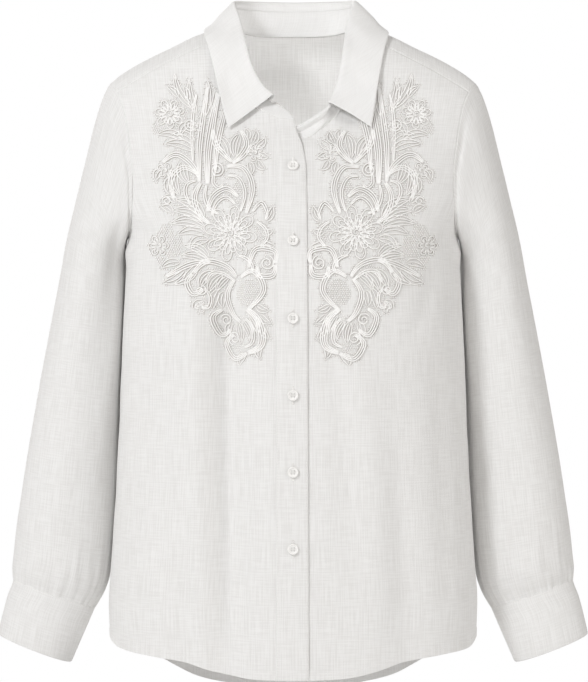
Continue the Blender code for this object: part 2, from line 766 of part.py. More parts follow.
def add_wall(name, outer, inner, faces, finish):
    """A closed wall between two like surfaces of triangles, joined round every free edge."""
    outer = np.asarray(outer).reshape(-1, 3)
    inner = np.asarray(inner).reshape(-1, 3)
    count = len(outer)
    edges = {}
    for a, b, c in faces:
        for edge in ((a, b), (b, c), (c, a)):
            edges[edge] = edges.get(edge, 0) + 1
    solid = [tuple(face) for face in faces]
    solid += [(c + count, b + count, a + count) for a, b, c in faces]
    for a, b in edges:
        if (b, a) not in edges:
            solid.append((b, a, a + count))
            solid.append((b, a + count, b + count))
    mesh = bpy.data.meshes.new(name)
    points = np.concatenate([outer, inner]) * METRES
    mesh.from_pydata(points.tolist(), [], solid)
    shaped = bmesh.new()
    shaped.from_mesh(mesh)
    bmesh.ops.recalc_face_normals(shaped, faces=shaped.faces)
    if shaped.calc_volume(signed=True) < 0:
        bmesh.ops.reverse_faces(shaped, faces=shaped.faces)
    shaped.to_mesh(mesh)
    shaped.free()
    mesh.shade_smooth()
    mesh.set_sharp_from_angle(angle=math.radians(SHARP_WALL_DEGREES))
    mesh.materials.append(finish)
    return add_object(name, mesh)


def add_object(name, mesh):
    made = bpy.data.objects.new(name, mesh)
    bpy.context.scene.collection.objects.link(made)
    return made


def drawn_in(points, by, bottom=False, top=False, left=False, right=False):
    """A grid of points whose named edges stop short of their seam lines."""
    made = np.array(points)

    def pull(edge, inner_line):
        way = inner_line - edge
        return by * way / np.linalg.norm(way, axis=-1, keepdims=True)

    moves = np.zeros_like(made)
    if bottom:
        moves[0] += pull(points[0], points[1])
    if top:
        moves[-1] += pull(points[-1], points[-2])
    if left:
        moves[:, 0] += pull(points[:, 0], points[:, 1])
    if right:
        moves[:, -1] += pull(points[:, -1], points[:, -2])
    return made + moves


def armhole_directions():
    """Wall directions at the armhole, midway between the body's and the sleeve's."""
    front, yoke, back = armhole_turns()
    turns = np.concatenate([front, yoke[1:], back[1:-1]])
    edge = armhole_points(turns)
    rings = np.stack([sleeve_point_row(along, turns) for along in SLEEVE_TOP_RINGS])
    faces = grid_triangles(len(SLEEVE_TOP_RINGS), len(turns), closed=True)
    sleeve = vertex_normals(rings.reshape(-1, 3), faces)[: len(turns)]
    middle = edge.mean(axis=0)
    if np.sum(sleeve[len(turns) // 2] * (edge[len(turns) // 2] - middle)) < 0:
        sleeve = -sleeve
    both = body_normals(edge) + sleeve
    both /= np.linalg.norm(both, axis=1, keepdims=True)
    return {round(float(turn), 3): way for turn, way in zip(turns, both)}


def walled_grid(points, around, heights, ways, edges):
    """The outer and inner points of a body panel, with folds, drawn in at its seams."""
    normals = body_normals(points)
    outer = points + normals * np.asarray(body_folds(around, heights))[..., None]
    for place, way in ways:
        normals[place] = way
    inner = outer - normals * CLOTH
    return drawn_in(outer, SEAM_HALF_GAP, **edges), drawn_in(inner, SEAM_HALF_GAP, **edges)


def make_front(name, right, armhole_ways, neck, finish):
    grid = front_grid(right)
    points = panel_points(grid[..., 0], grid[..., 1], -1)
    hand = -1.0 if right else 1.0
    turns, _, _ = armhole_turns()
    ways = []
    for step, turn in enumerate(turns):
        ways.append(((SIDE_ROWS + step, -1), armhole_ways[round(float(turn), 3)]))
    columns = len(neck_shares(True, right))
    for column in range(columns):
        ways.append(((-1, column), neck[right][NECK_YOKE_COLUMNS + columns - 1 - column]))
    edges = {"top": True, "right": True}
    outer, inner = walled_grid(points, hand * grid[..., 0], grid[..., 1], ways, edges)
    if right:
        outer = mirrored(outer)
        inner = mirrored(inner)
    add_wall(name, outer, inner, grid_triangles(*grid.shape[:2]), finish)


def both_halves(half):
    """A grid across the whole garment from its half, whose first column is the middle."""
    return np.concatenate([mirrored(half[:, :0:-1]), half], axis=1)


def make_back(armhole_ways, finish):
    grid = back_grid()
    points = panel_points(grid[..., 0], grid[..., 1], 1)
    _, _, turns = armhole_turns()
    ways = []
    for step, turn in enumerate(turns[::-1]):
        key = round(float(turn), 3) if turn > -180.0 else 180.0
        ways.append(((SIDE_ROWS + step, -1), armhole_ways[key]))
    edges = {"top": True, "right": True}
    halves = []
    for hand in (1.0, -1.0):
        around = hand * (2.0 - grid[..., 0])
        halves.append(walled_grid(points, around, grid[..., 1], ways, edges))
    outer = np.concatenate([mirrored(halves[1][0][:, :0:-1]), halves[0][0]], axis=1)
    inner = np.concatenate([mirrored(halves[1][1][:, :0:-1]), halves[0][1]], axis=1)
    add_wall("back", outer, inner, grid_triangles(*outer.shape[:2]), finish)


def make_yoke(armhole_ways, neck, finish):
    grid = yoke_grid()
    points = yoke_points(grid[..., 0], grid[..., 1])
    _, turns, _ = armhole_turns()
    normals = body_normals(points)
    for step, turn in enumerate(turns[::-1]):
        normals[step, -1] = armhole_ways[round(float(turn), 3)]
    normals[-1, : NECK_YOKE_COLUMNS + 1] = neck[False][: NECK_YOKE_COLUMNS + 1]
    inner = points - normals * CLOTH
    edges = {"bottom": True, "top": True, "right": True}
    outer = both_halves(drawn_in(points, SEAM_HALF_GAP, **edges))
    inner = both_halves(drawn_in(inner, SEAM_HALF_GAP, **edges))
    add_wall("yoke", outer, inner, grid_triangles(*outer.shape[:2]), finish)


def sleeve_rings():
    """The sleeve's rings of points and its triangles, coarse above and finer at the gathers."""
    rings = [sleeve_point_row(float(along), sleeve_turns(along, False)) for along in SLEEVE_ROWS]
    fine = [sleeve_point_row(float(along), sleeve_turns(along, True)) for along in GATHER_ROWS]
    count = len(rings[0])
    faces = grid_triangles(len(rings), count, closed=True)
    last = (len(rings) - 1) * count
    faces += finer_triangles(last, count)
    start = len(rings) * count
    for a, b, c in grid_triangles(len(fine), 2 * count, closed=True):
        faces.append((a + start, b + start, c + start))
    return rings + fine, faces


def make_sleeve(name, right, armhole_ways, finish):
    rings, faces = sleeve_rings()
    points = np.concatenate(rings)
    normals = vertex_normals(points, faces)
    count = len(rings[0])
    fine = len(rings[-1])
    ring = len(SLEEVE_ROWS) // 2
    if np.dot(normals[count * ring], rings[ring][0] - rings[ring].mean(axis=0)) < 0:
        normals = -normals
    front, yoke, back = armhole_turns()
    turns = np.concatenate([front, yoke[1:], back[1:-1]])
    for step, turn in enumerate(turns):
        normals[step] = armhole_ways[round(float(turn), 3)]
    inner = points - normals * CLOTH
    for sheet in (points, inner):
        first = sheet[:count].copy()
        second = sheet[count : 2 * count]
        way = second - first
        sheet[:count] += SEAM_HALF_GAP * way / np.linalg.norm(way, axis=1, keepdims=True)
        end = sheet[-fine:].copy()
        way = sheet[-2 * fine : -fine] - end
        sheet[-fine:] += SEAM_HALF_GAP * way / np.linalg.norm(way, axis=1, keepdims=True)
    if right:
        points = mirrored(points)
        inner = mirrored(inner)
    add_wall(name, points, inner, faces, finish)


def cuff_grid():
    """The cuff's outer points, a band that laps over its own start."""
    step = 360.0 / GATHER_SEGMENTS
    count = GATHER_SEGMENTS + int(CUFF_LAP_DEGREES / step) + 1
    turns = CUFF_LAP_START - CUFF_LAP_DEGREES / 2 + np.arange(count) * step
    rows = []
    for along in np.linspace(CUFF_SEAM, CUFF_END, CUFF_ROWS + 1):
        row = sleeve_row(along, turns)
        middle = row[:GATHER_SEGMENTS].mean(axis=0)
        inward = middle - row
        inward /= np.linalg.norm(inward, axis=1, keepdims=True)
        under = 1 - ease((np.arange(count) - CUFF_UNDER_STATIONS) / CUFF_STEP_STATIONS)
        rows.append(row + inward * (under * (BAND + LAP_GAP))[:, None])
    return np.stack(rows)


def grid_normals(grid, closed=False):
    faces = grid_triangles(*grid.shape[:2], closed=closed)
    return vertex_normals(grid.reshape(-1, 3), faces).reshape(grid.shape)


def make_cuff(name, right, finish):
    outer = cuff_grid()
    normals = grid_normals(outer)
    middle = outer.reshape(-1, 3).mean(axis=0)
    half_round = GATHER_SEGMENTS // 2
    if np.sum((outer[1, half_round] - middle) * normals[1, half_round]) < 0:
        normals = -normals
    inner = outer - normals * BAND
    outer = drawn_in(outer, SEAM_HALF_GAP, bottom=True)
    inner = drawn_in(inner, SEAM_HALF_GAP, bottom=True)
    lap = outer[:, CUFF_BUTTON_STATION].mean(axis=0)
    way = normals[1, CUFF_BUTTON_STATION]
    if right:
        outer = mirrored(outer)
        inner = mirrored(inner)
        lap = mirrored(lap)
        way = mirrored(way)
    add_wall(name, outer, inner, grid_triangles(*outer.shape[:2]), finish)
    return lap, way


def neck_points(right):
    """The neckline's stations from the back middle to the front end, on one side."""
    shares = np.linspace(0.0, 1.0, NECK_YOKE_COLUMNS + 1)
    over = yoke_points(NECK_YOKE.read("out", shares), NECK_YOKE.read("roll", shares))
    neck = NECK_RIGHT if right else NECK_LEFT
    shares = neck_shares(False, right)
    height = neck.read("height", shares)
    down = panel_points(arc_share(neck.read("out", shares), height, -1), height, -1)
    over[-1] = down[0]
    return np.concatenate([over, down[1:]])


def leaf_shares(line):
    """Length shares of the stations along the leaf."""
    steps = np.linalg.norm(np.diff(line, axis=0), axis=1)
    length = np.concatenate([[0.0], np.cumsum(steps)])
    return length / length[-1]


def collar_half(right):
    """Neck, stand top, roll and leaf edge points of one side, from the back to the front."""
    line = neck_points(right)
    leaf_end = NECK_YOKE_COLUMNS + NECK_LEAF_COLUMNS
    shares = leaf_shares(line[: leaf_end + 1])
    table = COLLAR_RIGHT if right else COLLAR_LEFT
    roll = np.stack([table.read(name, shares) for name in ("roll_x", "roll_y", "roll_z")], axis=-1)
    edge = np.stack([table.read(name, shares) for name in ("edge_x", "edge_y", "edge_z")], axis=-1)
    height_share = STAND_HEIGHT.read("of_roll", shares)[:, None]
    top = line[: leaf_end + 1] * (1 - height_share) + roll * height_share
    end = STAND_END_RIGHT if right else STAND_END_LEFT
    end_shares = np.array(NECK_END_SHARES)
    past = np.stack([end.read(name, end_shares) for name in ("top_x", "top_y", "top_z")], axis=-1)
    return line, np.concatenate([top, past]), roll, edge


def joined(right_half, left_half):
    """Stations from the right front round the back to the left front."""
    return np.concatenate([mirrored(right_half)[:0:-1], left_half])


def stand_surface(line, top):
    """The stand's outer face and its directions, from the neckline up to its top."""
    along = directions(np.gradient(line, axis=0))
    up = top - line
    up -= along * np.sum(up * along, axis=1, keepdims=True)
    base = line + directions(up) * STAND_GAP
    shares = np.linspace(0.0, 1.0, STAND_ROWS + 1)[:, None, None]
    outer = base[None] * (1 - shares) + top[None] * shares
    normals = grid_normals(outer)
    back = np.argmax(line[:, 1])
    return outer, normals if normals[1, back, 1] > 0 else -normals


def neck_directions(right):
    """Wall directions along the neckline, midway between the body's and the stand's."""
    line, top, _, _ = collar_half(right)
    line[0, 0] = 0.0
    _, normals = stand_surface(line, top)
    both = body_normals(line) + normals[0]
    both[0, 0] = 0.0
    return both / np.linalg.norm(both, axis=1, keepdims=True)


def neck_ways():
    """The neckline's directions on the right and the left. The yoke's stretch is alike on both."""
    left = neck_directions(False)
    right = neck_directions(True)
    right[: NECK_YOKE_COLUMNS + 1] = left[: NECK_YOKE_COLUMNS + 1]
    return {True: right, False: left}


def make_stand(ways, finish):
    right_line, right_top, _, _ = collar_half(True)
    left_line, left_top, _, _ = collar_half(False)
    outer, normals = stand_surface(joined(right_line, left_line), joined(right_top, left_top))
    normals[0] = joined(ways[True], ways[False])
    inner = outer - normals * BAND
    add_wall("collar_stand", outer, inner, grid_triangles(*outer.shape[:2]), finish)


def leaf_section(top, roll, edge, along):
    """The leaf's line across its width: up from the stand, over the roll and down to its edge."""
    up = (roll - top) / np.linalg.norm(roll - top)
    square_up = up - along * np.dot(up, along)
    square_up /= np.linalg.norm(square_up)
    out = np.cross(square_up, along)
    start = top + square_up * LEAF_START_GAP
    rise = max(np.dot(roll - start, up) - ROLL_RADIUS, LEAST_RISE)
    turn_start = start + up * rise
    middle = turn_start + out * ROLL_RADIUS
    line = [start, (start + turn_start) / 2]
    for degrees in ROLL_DEGREES:
        turn = math.radians(degrees)
        line.append(middle + ROLL_RADIUS * (square_up * math.sin(turn) - out * math.cos(turn)))
    away = edge - line[-1]
    belly = square_up * LEAF_BELLY + out * LEAF_BELLY
    for share in LEAF_SHARES:
        line.append(line[4] + away * share + belly * math.sin(math.pi * share))
    return np.array(line)


def make_fall(finish):
    halves = []
    for right in (True, False):
        _, top, roll, edge = collar_half(right)
        along = np.gradient(roll, axis=0)
        along[0] = (1.0, 0.0, 0.0)
        along /= np.linalg.norm(along, axis=1, keepdims=True)
        lines = [leaf_section(top[i], roll[i], edge[i], along[i]) for i in range(len(roll))]
        halves.append(np.stack(lines))
    middle = np.concatenate([mirrored(halves[0])[:0:-1], halves[1]])
    grid = np.moveaxis(middle, 0, 1)
    lower = grid[4:]
    grid[4:] = lift_clear(lower, FALL / 2 + LEAF_GAP, True)
    normals = grid_normals(grid)
    if normals[-1, grid.shape[1] // 2, 1] < 0:
        normals = -normals
    outer = grid + normals * FALL / 2
    inner = grid - normals * FALL / 2
    add_wall("collar_fall", outer, inner, grid_triangles(*grid.shape[:2]), finish)


def make_band(finish):
    """The buttonhole band that lies on the right front's edge."""
    top = NECK_RIGHT.read("height", BAND_TOP_SHARE)
    heights = np.linspace(HEM_FRONT.read("height", 0.0), top, BAND_ROWS + 1)
    inner_edge = np.full_like(heights, BAND_INNER_EDGE)
    free_edge = BAND_EDGE.read("out", heights)
    shares = np.array([0.0, 0.5, 1.0])
    outs = inner_edge[:, None] * (1 - shares) + free_edge[:, None] * shares
    levels = np.repeat(heights[:, None], len(shares), axis=1)
    ends = np.array(NECK_END_SHARES[::-1])
    neckline = np.interp(outs[-1], NECK_RIGHT.read("out", ends), NECK_RIGHT.read("height", ends))
    levels[-1] = neckline - SEAM_HALF_GAP
    points = panel_points(arc_share(outs, levels, -1), levels, -1)
    normals = body_normals(points)
    inner = points + normals * LAP_GAP
    outer = inner + normals * FALL
    add_wall("front_band", mirrored(outer), mirrored(inner), grid_triangles(*outer.shape[:2]), finish)


def button_mesh(finish):
    """A four-hole button with a raised rim, lying in its own level plane."""
    rim = BUTTON_RADIUS
    dish = BUTTON_THICKNESS - BUTTON_DISH_DEPTH
    profile = (
        (0.0, 0.0),
        (rim - BUTTON_EDGE_ROUND, 0.0),
        (rim, BUTTON_EDGE_ROUND),
        (rim - BUTTON_EDGE_ROUND / 4, BUTTON_THICKNESS - BUTTON_EDGE_ROUND / 4),
        (rim - BUTTON_RIM_WIDTH, BUTTON_THICKNESS),
        (rim - 2 * BUTTON_RIM_WIDTH, dish),
        (0.0, dish),
    )
    shaped = bmesh.new()
    line = [shaped.verts.new((x * METRES, 0.0, z * METRES)) for x, z in profile]
    edges = [shaped.edges.new((line[i], line[i + 1])) for i in range(len(line) - 1)]
    bmesh.ops.spin(
        shaped,
        geom=line + edges,
        cent=(0, 0, 0),
        axis=(0, 0, 1),
        angle=2 * math.pi,
        steps=BUTTON_SIDES,
        use_merge=True,
    )
    bmesh.ops.remove_doubles(shaped, verts=shaped.verts, dist=0.01 * METRES)
    bmesh.ops.recalc_face_normals(shaped, faces=shaped.faces)
    mesh = bpy.data.meshes.new("button_blank")
    shaped.to_mesh(mesh)
    shaped.free()
    mesh.materials.append(finish)
    blank = add_object("button_blank", mesh)
    cutters = bmesh.new()
    for x in (-BUTTON_HOLE_OFFSET, BUTTON_HOLE_OFFSET):
        for y in (-BUTTON_HOLE_OFFSET, BUTTON_HOLE_OFFSET):
            place = Matrix.Translation(Vector((x, y, BUTTON_THICKNESS / 2)) * METRES)
            bmesh.ops.create_cone(
                cutters,
                cap_ends=True,
                segments=BUTTON_HOLE_SIDES,
                radius1=BUTTON_HOLE_RADIUS * METRES,
                radius2=BUTTON_HOLE_RADIUS * METRES,
                depth=BUTTON_HOLE_CUT * METRES,
                matrix=place,
            )
    cutter_mesh = bpy.data.meshes.new("button_holes")
    cutters.to_mesh(cutter_mesh)
    cutters.free()
    cutter = add_object("button_holes", cutter_mesh)
    cutter.hide_render = True
    cutter.display_type = "WIRE"
    cut = blank.modifiers.new("holes", "BOOLEAN")
    cut.object = cutter
    cut.operation = "DIFFERENCE"
    bpy.context.view_layer.update()
    seen = blank.evaluated_get(bpy.context.evaluated_depsgraph_get())
    made = bpy.data.meshes.new_from_object(seen)
    made.name = "button"
    bpy.data.objects.remove(blank)
    bpy.data.objects.remove(cutter)
    made.set_sharp_from_angle(angle=math.radians(SHARP_BUTTON_DEGREES))
    return made


def place_button(name, mesh, point, way):
    """A button that faces along a direction, its back at a point."""
    made = add_object(name, mesh)
    made.location = Vector(point) * METRES
    made.rotation_mode = "QUATERNION"
    made.rotation_quaternion = Vector(way).to_track_quat("Z", "Y")


def make_buttons(mesh):
    for index in range(BUTTON_COUNT):
        height = np.array(BUTTON_FIRST_HEIGHT - index * BUTTON_PITCH)
        point = panel_points(arc_share(0.0, height, -1), height, -1)
        way = body_normals(point)
        seat = point + way * (LAP_GAP + FALL + LAP_GAP)
        place_button(f"button_{index + 1}", mesh, seat, way)


def make_shirt():
    for old in list(bpy.data.objects):
        bpy.data.objects.remove(old)
    ways = armhole_directions()
    neck = neck_ways()
    make_front("front_right", True, ways, neck, linen("front_right", LINEN))
    make_front("front_left", False, ways, neck, linen("front_left", LINEN))
    make_back(ways, linen("back", LINEN))
    make_yoke(ways, neck, linen("yoke", LINEN))
    make_band(linen("band", LINEN))
    make_stand(neck, linen("stand", LINEN_LIGHT))
    make_fall(linen("fall", LINEN_LIGHT))
    mesh = button_mesh(material("button_shell", SHELL, SHELL_ROUGHNESS))
    make_buttons(mesh)
    for side, right in (("right", True), ("left", False)):
        make_sleeve(f"sleeve_{side}", right, ways, linen(f"sleeve_{side}", LINEN))
        lap, way = make_cuff(f"cuff_{side}", right, linen(f"cuff_{side}", LINEN))
        place_button(f"cuff_button_{side}", mesh, lap + way * LAP_GAP, way)


make_shirt()
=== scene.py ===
"""The looks of an embroidered linen shirt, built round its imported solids.

The cloth's form repeats the part's own sizes, in millimetres, on much finer grids. X runs to the
viewer's right, Y away from the viewer and Z up, with the origin at the middle of the shoulder line.
"""

import math

import bmesh
import bpy
import numpy as np
from mathutils import Matrix, Vector, noise


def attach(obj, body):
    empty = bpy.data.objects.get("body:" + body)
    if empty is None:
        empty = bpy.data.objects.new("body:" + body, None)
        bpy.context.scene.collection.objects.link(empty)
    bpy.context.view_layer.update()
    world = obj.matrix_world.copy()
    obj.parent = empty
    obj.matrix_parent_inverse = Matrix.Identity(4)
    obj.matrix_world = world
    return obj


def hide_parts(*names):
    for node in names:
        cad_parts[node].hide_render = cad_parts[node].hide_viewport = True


METRES = 0.001
SIDES = {True: "right", False: "left"}

# Walls of the cloth, and the edges of the fronts and their band
CLOTH = 0.7
BAND = 1.5
FALL = 1.5
BAND_INNER_EDGE = 17.5
FRONT_EDGE_RIGHT = 16.0
FRONT_EDGE_LEFT = -14.0

# Heights of the seams, and the rolls of the shoulder and of the body's level sections
SHOULDER_HEIGHT = -48.6
UNDERARM_HEIGHT = -213.0
FRONT_SEAM_HEIGHT = -58.0
BACK_SEAM_HEIGHT = -95.0
SIDE_HEM_HEIGHT = -640.0
FRONT_POWER = 2.3
BACK_POWER = 2.0
FRONT_ROLL = 50.0
BACK_ROLL = 45.0
ROUNDED_ABOVE = -150.0
SECTION_DEPTH_SHARE = 0.62
WIDEST_SHARE = 0.98
CURVE_STEPS = 1500
HEM_STEPS = 200
LEVEL_STEP = 0.02
LIFT_PASSES = 4

# Stations of the coarse grids, which are those of the solids
SIDE_ROWS = 11
ARM_FRONT_ROWS = 8
ARM_BACK_ROWS = 8
ARM_YOKE_FRONT = 3
ARM_YOKE_BACK = 5
SEAM_COLUMNS = 7
NECK_YOKE_COLUMNS = 6
NECK_LEAF_COLUMNS = 5
NECK_END_SHARES = (1.3, 1.65, 2.0)
BAND_TOP_SHARE = 1.65

# The collar's leaf across its width
ROLL_RADIUS = 2.7
LEAST_RISE = 0.6
LEAF_BELLY = 1.2
ROLL_DEGREES = (0.0, 60.0, 120.0)
ROLL_END = 1 + len(ROLL_DEGREES)
LEAF_SHARES = (0.25, 0.5, 0.75, 1.0)
LEAF_START_GAP = 0.2
LEAF_GAP = 2.8
REST_GAP = 0.9

# Grids of the shown cloth: the usual steps, the closer rows beside a seam, and each panel's reach
STEP = 2.6
WIDE_STEP = 3.9
STAND_STEP = 1.6
FALL_STEP = 1.7
SEAM_ROWS = (0.35, 0.8, 1.4, 2.2, 3.4)
SHARP_DEGREES = 55.0
PANEL_LENGTH = 590.0
PANEL_WIDTH = 250.0
YOKE_LENGTH = 150.0
YOKE_WIDTH = 210.0
STAND_WIDTH = 26.0
FALL_WIDTH = 75.0
COLLAR_LENGTH = 430.0
QUARTER_ROUND = 245.0
SLEEVE_ROUND = 310.0
SLEEVE_AROUND = 136

# Seams, hems and the cloth's small waves
SEAM_DIP = 0.5
SEAM_DIP_REACH = 0.9
NECK_DIP_ARC = 0.3
NECK_DIP_EASE = 0.05
NECK_DIP_LOST = 0.7
HEM_WIDTH = 8.0
HEM_RISE = 0.45
HEM_EASE = 1.2
HEM_GROOVE = 0.15
HEM_GROOVE_WIDTH = 0.8
HEM_STITCH_IN = 1.0
CLOTH_WAVE = 34.0
CLOTH_WAVE_HEIGHT = 0.5
WAVE_SHIFT = (7.3, 3.1, 5.7)
CREASE_END = 0.02

# Sleeves
ARMHOLE_FADE = 150.0
UNDERARM_EASE = 15.0
FOLD_FADE = 60.0
ARMHOLE_TROUGH = 3.4
ARMHOLE_TROUGH_AT = 10.0
ARMHOLE_TROUGH_WIDTH = 6.5
SLEEVE_FIRST_ROW = 6.0
SLEEVE_TUCK = 5.0
TUCK_DEPTH = 1.8
TUCK_EASE = 1.5
SLEEVE_FULL = 12.0
CORNER_POWER = 3
CORNER_PEAK = 0.325
SLEEVE_FULL_START = 60.0
SLEEVE_FULL_REACH = 330.0
SLEEVE_FULL_FADE = 100.0
SIDE_FULL = 3.4
SIDE_FULL_SHARE = 0.84
SIDE_FULL_EASE = 0.12
SIDE_FULL_HEIGHT = -230.0
SIDE_FULL_REACH = 12.0
GATHER_BEGINS = 440.0
GATHER_COUNT = 40
GATHER_SEED = 11
GATHER_SHIFT = 0.3
GATHER_LENGTHS = (28.0, 105.0)
GATHER_HEIGHTS = (0.7, 2.0)
GATHER_WIDTHS = (0.0065, 0.0115)
GATHER_GROWTH = 0.7

# Cuffs. An edge's relief is how far it is rounded down and how wide, then its stitched groove's
# depth, its place in from the edge and its width
CUFF_SEAM = 549.0
CUFF_END = 612.0
CUFF_RISE = 0.8
CUFF_LAP_DEGREES = 22.5
CUFF_LAP_START = -75.0
CUFF_LAP_GAP = 0.8
CUFF_STEP_DEGREES = 2.5
CUFF_UNDER_DEGREES = 30.0
CUFF_STEP_OVER = 37.5
CUFF_EDGE_ROWS = (0.0, 0.5, 1.2, 2.2)
CUFF_EDGE = (0.6, 0.8, 0.2, 2.2, 0.6)
STAND_EDGE = (0.4, 0.8, 0.14, 1.8, 0.6)
BAND_EDGE_RELIEF = (0.75, 0.8, 0.2, 1.9, 0.55)

# The collar's stand and leaf, and the hollow of the wearer's left front below the open neck
STAND_GAP = 0.3
STAND_END_ROUND = 9.0
STAND_END_LOW = 0.62
STAND_FOOT = 1.3
STAND_TUCK = 0.9
ROLLED_RISE = 0.9
ROLLED_WIDTH = 4.0
ROLLED_EASE = 2.4
ROLLED_LENGTH = 92.0
ROLLED_FADE = 24.0
HOLLOW_DEPTH = 4.6
NECK_HOLLOW = ((2.0, -92.0), (46.0, -70.0))
NECK_HOLLOW_WIDTH = 46.0
COLLAR_STITCH = 2.5
COLLAR_GROOVE = 0.14
FALL_EDGE_THINNER = 0.75
FALL_EDGE_WIDTH = 0.7

# The buttonhole band, and the slot beside its free edge
BAND_ROWS = 236
BAND_WIDTH = 31.0
BAND_COLUMNS = (0.0, 0.6, 1.3, 2.2, 3.4, *np.arange(5.6, 26.0, 2.4), 27.6, 28.8, 29.7, 30.4, BAND_WIDTH)
BAND_TOP_EASE = 30.0
BAND_RISE = 2.2
BAND_UNDER = 0.75
BAND_FEATHER = 0.7
BAND_FEATHER_WIDTH = 6.5
BAND_CLOSED = 0.9
BAND_CLOSED_WIDTH = 1.6
BAND_WAVE = 16.0
BAND_WAVE_HEIGHT = 0.22
BAND_WAVE_SEED = 4.0
UNDER_BAND_WIDTH = 2.1
UNDER_BAND_DEPTH = 9.0
UNDER_NECK_DEPTH = 3.0
UNDER_NECK_REACH = 190.0
UNDER_NECK_EASE = 90.0

# Buttons, from the middle of the back round the edge to the dished middle, and their thread
BUTTON_COUNT = 6
BUTTON_FIRST_HEIGHT = -142.5
BUTTON_PITCH = 79.5
BUTTON_PROFILE = (
    (0.0, 0.0), (4.6, 0.0), (5.3, 0.3), (5.7, 0.9), (5.75, 1.4), (5.55, 2.0), (5.1, 2.35), (4.6, 2.4),
    (4.2, 2.2), (3.9, 1.75), (3.5, 1.55), (0.0, 1.5),
)
BUTTON_DISH = 1.5
BUTTON_SIDES = 48
BUTTON_SHARP_DEGREES = 38.0
BUTTON_HOLE_OFFSET = 1.35
BUTTON_HOLE_RADIUS = 0.72
BUTTON_HOLE_SIDES = 20
BUTTON_HOLE_CUT = 4.0
BUTTON_HOLE_MIDDLE = 1.0
BUTTON_SEAT = 2.75
CUFF_BUTTON_SEAT = 0.15
CUFF_BUTTON_TURN = 360.0
BUTTON_THREAD = 0.42
THREAD_BAR_PAST = 0.3
THREAD_BAR = ((-1.0, -0.7), (-0.7, 0.2), (0.0, 0.35), (0.7, 0.2), (1.0, -0.7))

# Stitches and buttonholes
STITCH = 2.3
STITCH_GAP = 0.8
STITCH_START = 1.0
STITCH_RADIUS = 0.21
STITCH_LIFTS = (-0.15, 0.08, 0.08, -0.15)
BAND_STITCH = 2.0
BUTTONHOLE = 18.0
BUTTONHOLE_HALF_WIDTH = 0.85
BUTTONHOLE_CORD = 0.5
BUTTONHOLE_POINTS = 29
BUTTONHOLE_SQUARE = 1.12
BUTTONHOLE_RISE = 0.1
STAND_BUTTONHOLE = 9.0
STAND_HOLE_PLACE = (-13.0, -69.0)
STAND_HOLE_SPAN = 2

# Embroidery. Places are millimetres out from the shirt's middle and up from its shoulder line, as
# seen from the front, and both fronts carry the same pattern, mirrored
CORD = 1.02
FINE_CORD = 0.84
CORD_SIDES = 6
CORD_STEP = 1.3
CORD_RISE = 0.6
CORD_TAPER = 0.35
CORD_TAPER_POINTS = 2.2
LINE_DETAIL = 12
STRAND_GAP = 2.35
STEM_END_SPREAD = 0.45
LEAF_FULLNESS = 0.8
FLOWER_ROW_LESS = 0.32
FLOWER_HEART = 0.36
FLOWER_RINGS = (0.1, 0.24)
FLOWER_RING_LEAST = 0.8
FLOWER_RING_TURNS = 1.1
PETAL_SCALES = (1.0, 0.62)
PETAL_POINTS = 7
PETAL_FULLNESS = 0.55
PETAL_WIDTH = 0.9
SPIRAL_POINTS = 9
SPIRAL_POINTS_PER_TURN = 8
SPIRAL_CLOSING = 0.8
GROUND_PITCH = 2.5
GROUND_ROW_SHARE = 0.87
GROUND_SHIFT = 0.3
GROUND_NEAR = 1.75
GROUND_FAR = 6.0
GROUND_CLOSE_SHARE = 0.5
GROUND_REACH = ((12.0, 158.0), (-350.0, -40.0))
KNOT = 0.95
KNOT_SEED = 5
KNOT_SIDES = 6
# Turns given to a knot's rings, low to top, which set its painted shade: dark on the low rings, light on top
KNOT_SHADE_ANGLES = (0.0, 8.0, 85.0)
KNOT_RINGS = ((0.8, -0.4), (1.0, 0.2), (0.62, 0.85))
KNOT_LEANING = (0.3, 0.2, 1.0)
VIEW_DISTANCE = 3000.0
VIEW_HEIGHT = -325.0
VIEW_PASSES = 3

# Colours and finish
LINEN_LIGHT = (0.845, 0.84, 0.83)
LINEN_DARK = (0.735, 0.725, 0.71)
LINEN_SLUBS = ((820.0, 30.0), (46.0, 760.0), (90.0, 20.0))
LINEN_WARP_SHARE = 0.6
LINEN_SLUB_LOW = 0.38
LINEN_SLUB_HIGH = 0.64
LINEN_SLUB_COLOUR = 0.62
LINEN_PATCH_COLOUR = 0.16
LINEN_WEAVE_HEIGHT = 0.16
LINEN_SLUB_HEIGHT = 1.1
LINEN_RELIEF = 0.3
LINEN_SURFACE = {"Roughness": 0.88, "Specular IOR Level": 0.25, "Sheen Weight": 0.12, "Sheen Roughness": 0.5}
COLLAR_LIGHT = (0.88, 0.876, 0.868)
COLLAR_SLUB = 0.35
THREAD_PITCH = 0.55
# Thread: its own colour on top, then painted shade on its sides and foot, full below the lower sine of the
# turn round a cord and gone above the upper one
THREAD = (0.98, 0.975, 0.965)
THREAD_PAINTED_SHADE = (0.47, 0.43, 0.39)
THREAD_SIDE = 0.45
THREAD_TOP = 0.88
THREAD_TWIST = 1.1
THREAD_RELIEF = 0.12
THREAD_SURFACE = {"Roughness": 0.6, "Sheen Weight": 0.2}
BUMP_STRENGTH = 0.5
SHELL = (0.9, 0.89, 0.87)
SHELL_ROUGHNESS = 0.3

# Camera, floor and surroundings, in metres
CAMERA_PLACE = (0.001, -3.0, -0.325)
CAMERA_SENSOR = 36.0
CAMERA_REACH = 50.0
FOCAL_PIXELS = 2777.8
PHOTO_HEIGHT = 682
FLOOR_HEIGHT = -1.3
FLOOR_HALF = 4.2
FLOOR_COLOUR = (0.95, 0.95, 0.95)
FLOOR_ROUGHNESS = 0.9
BACKDROP_LIGHT = 1.0
AMBIENT_COLOUR = (1.0, 0.973, 0.942)
AMBIENT_LIGHT = 0.46
AMBIENT_LEAN = 0.13
WHITE = (1.0, 1.0, 1.0)

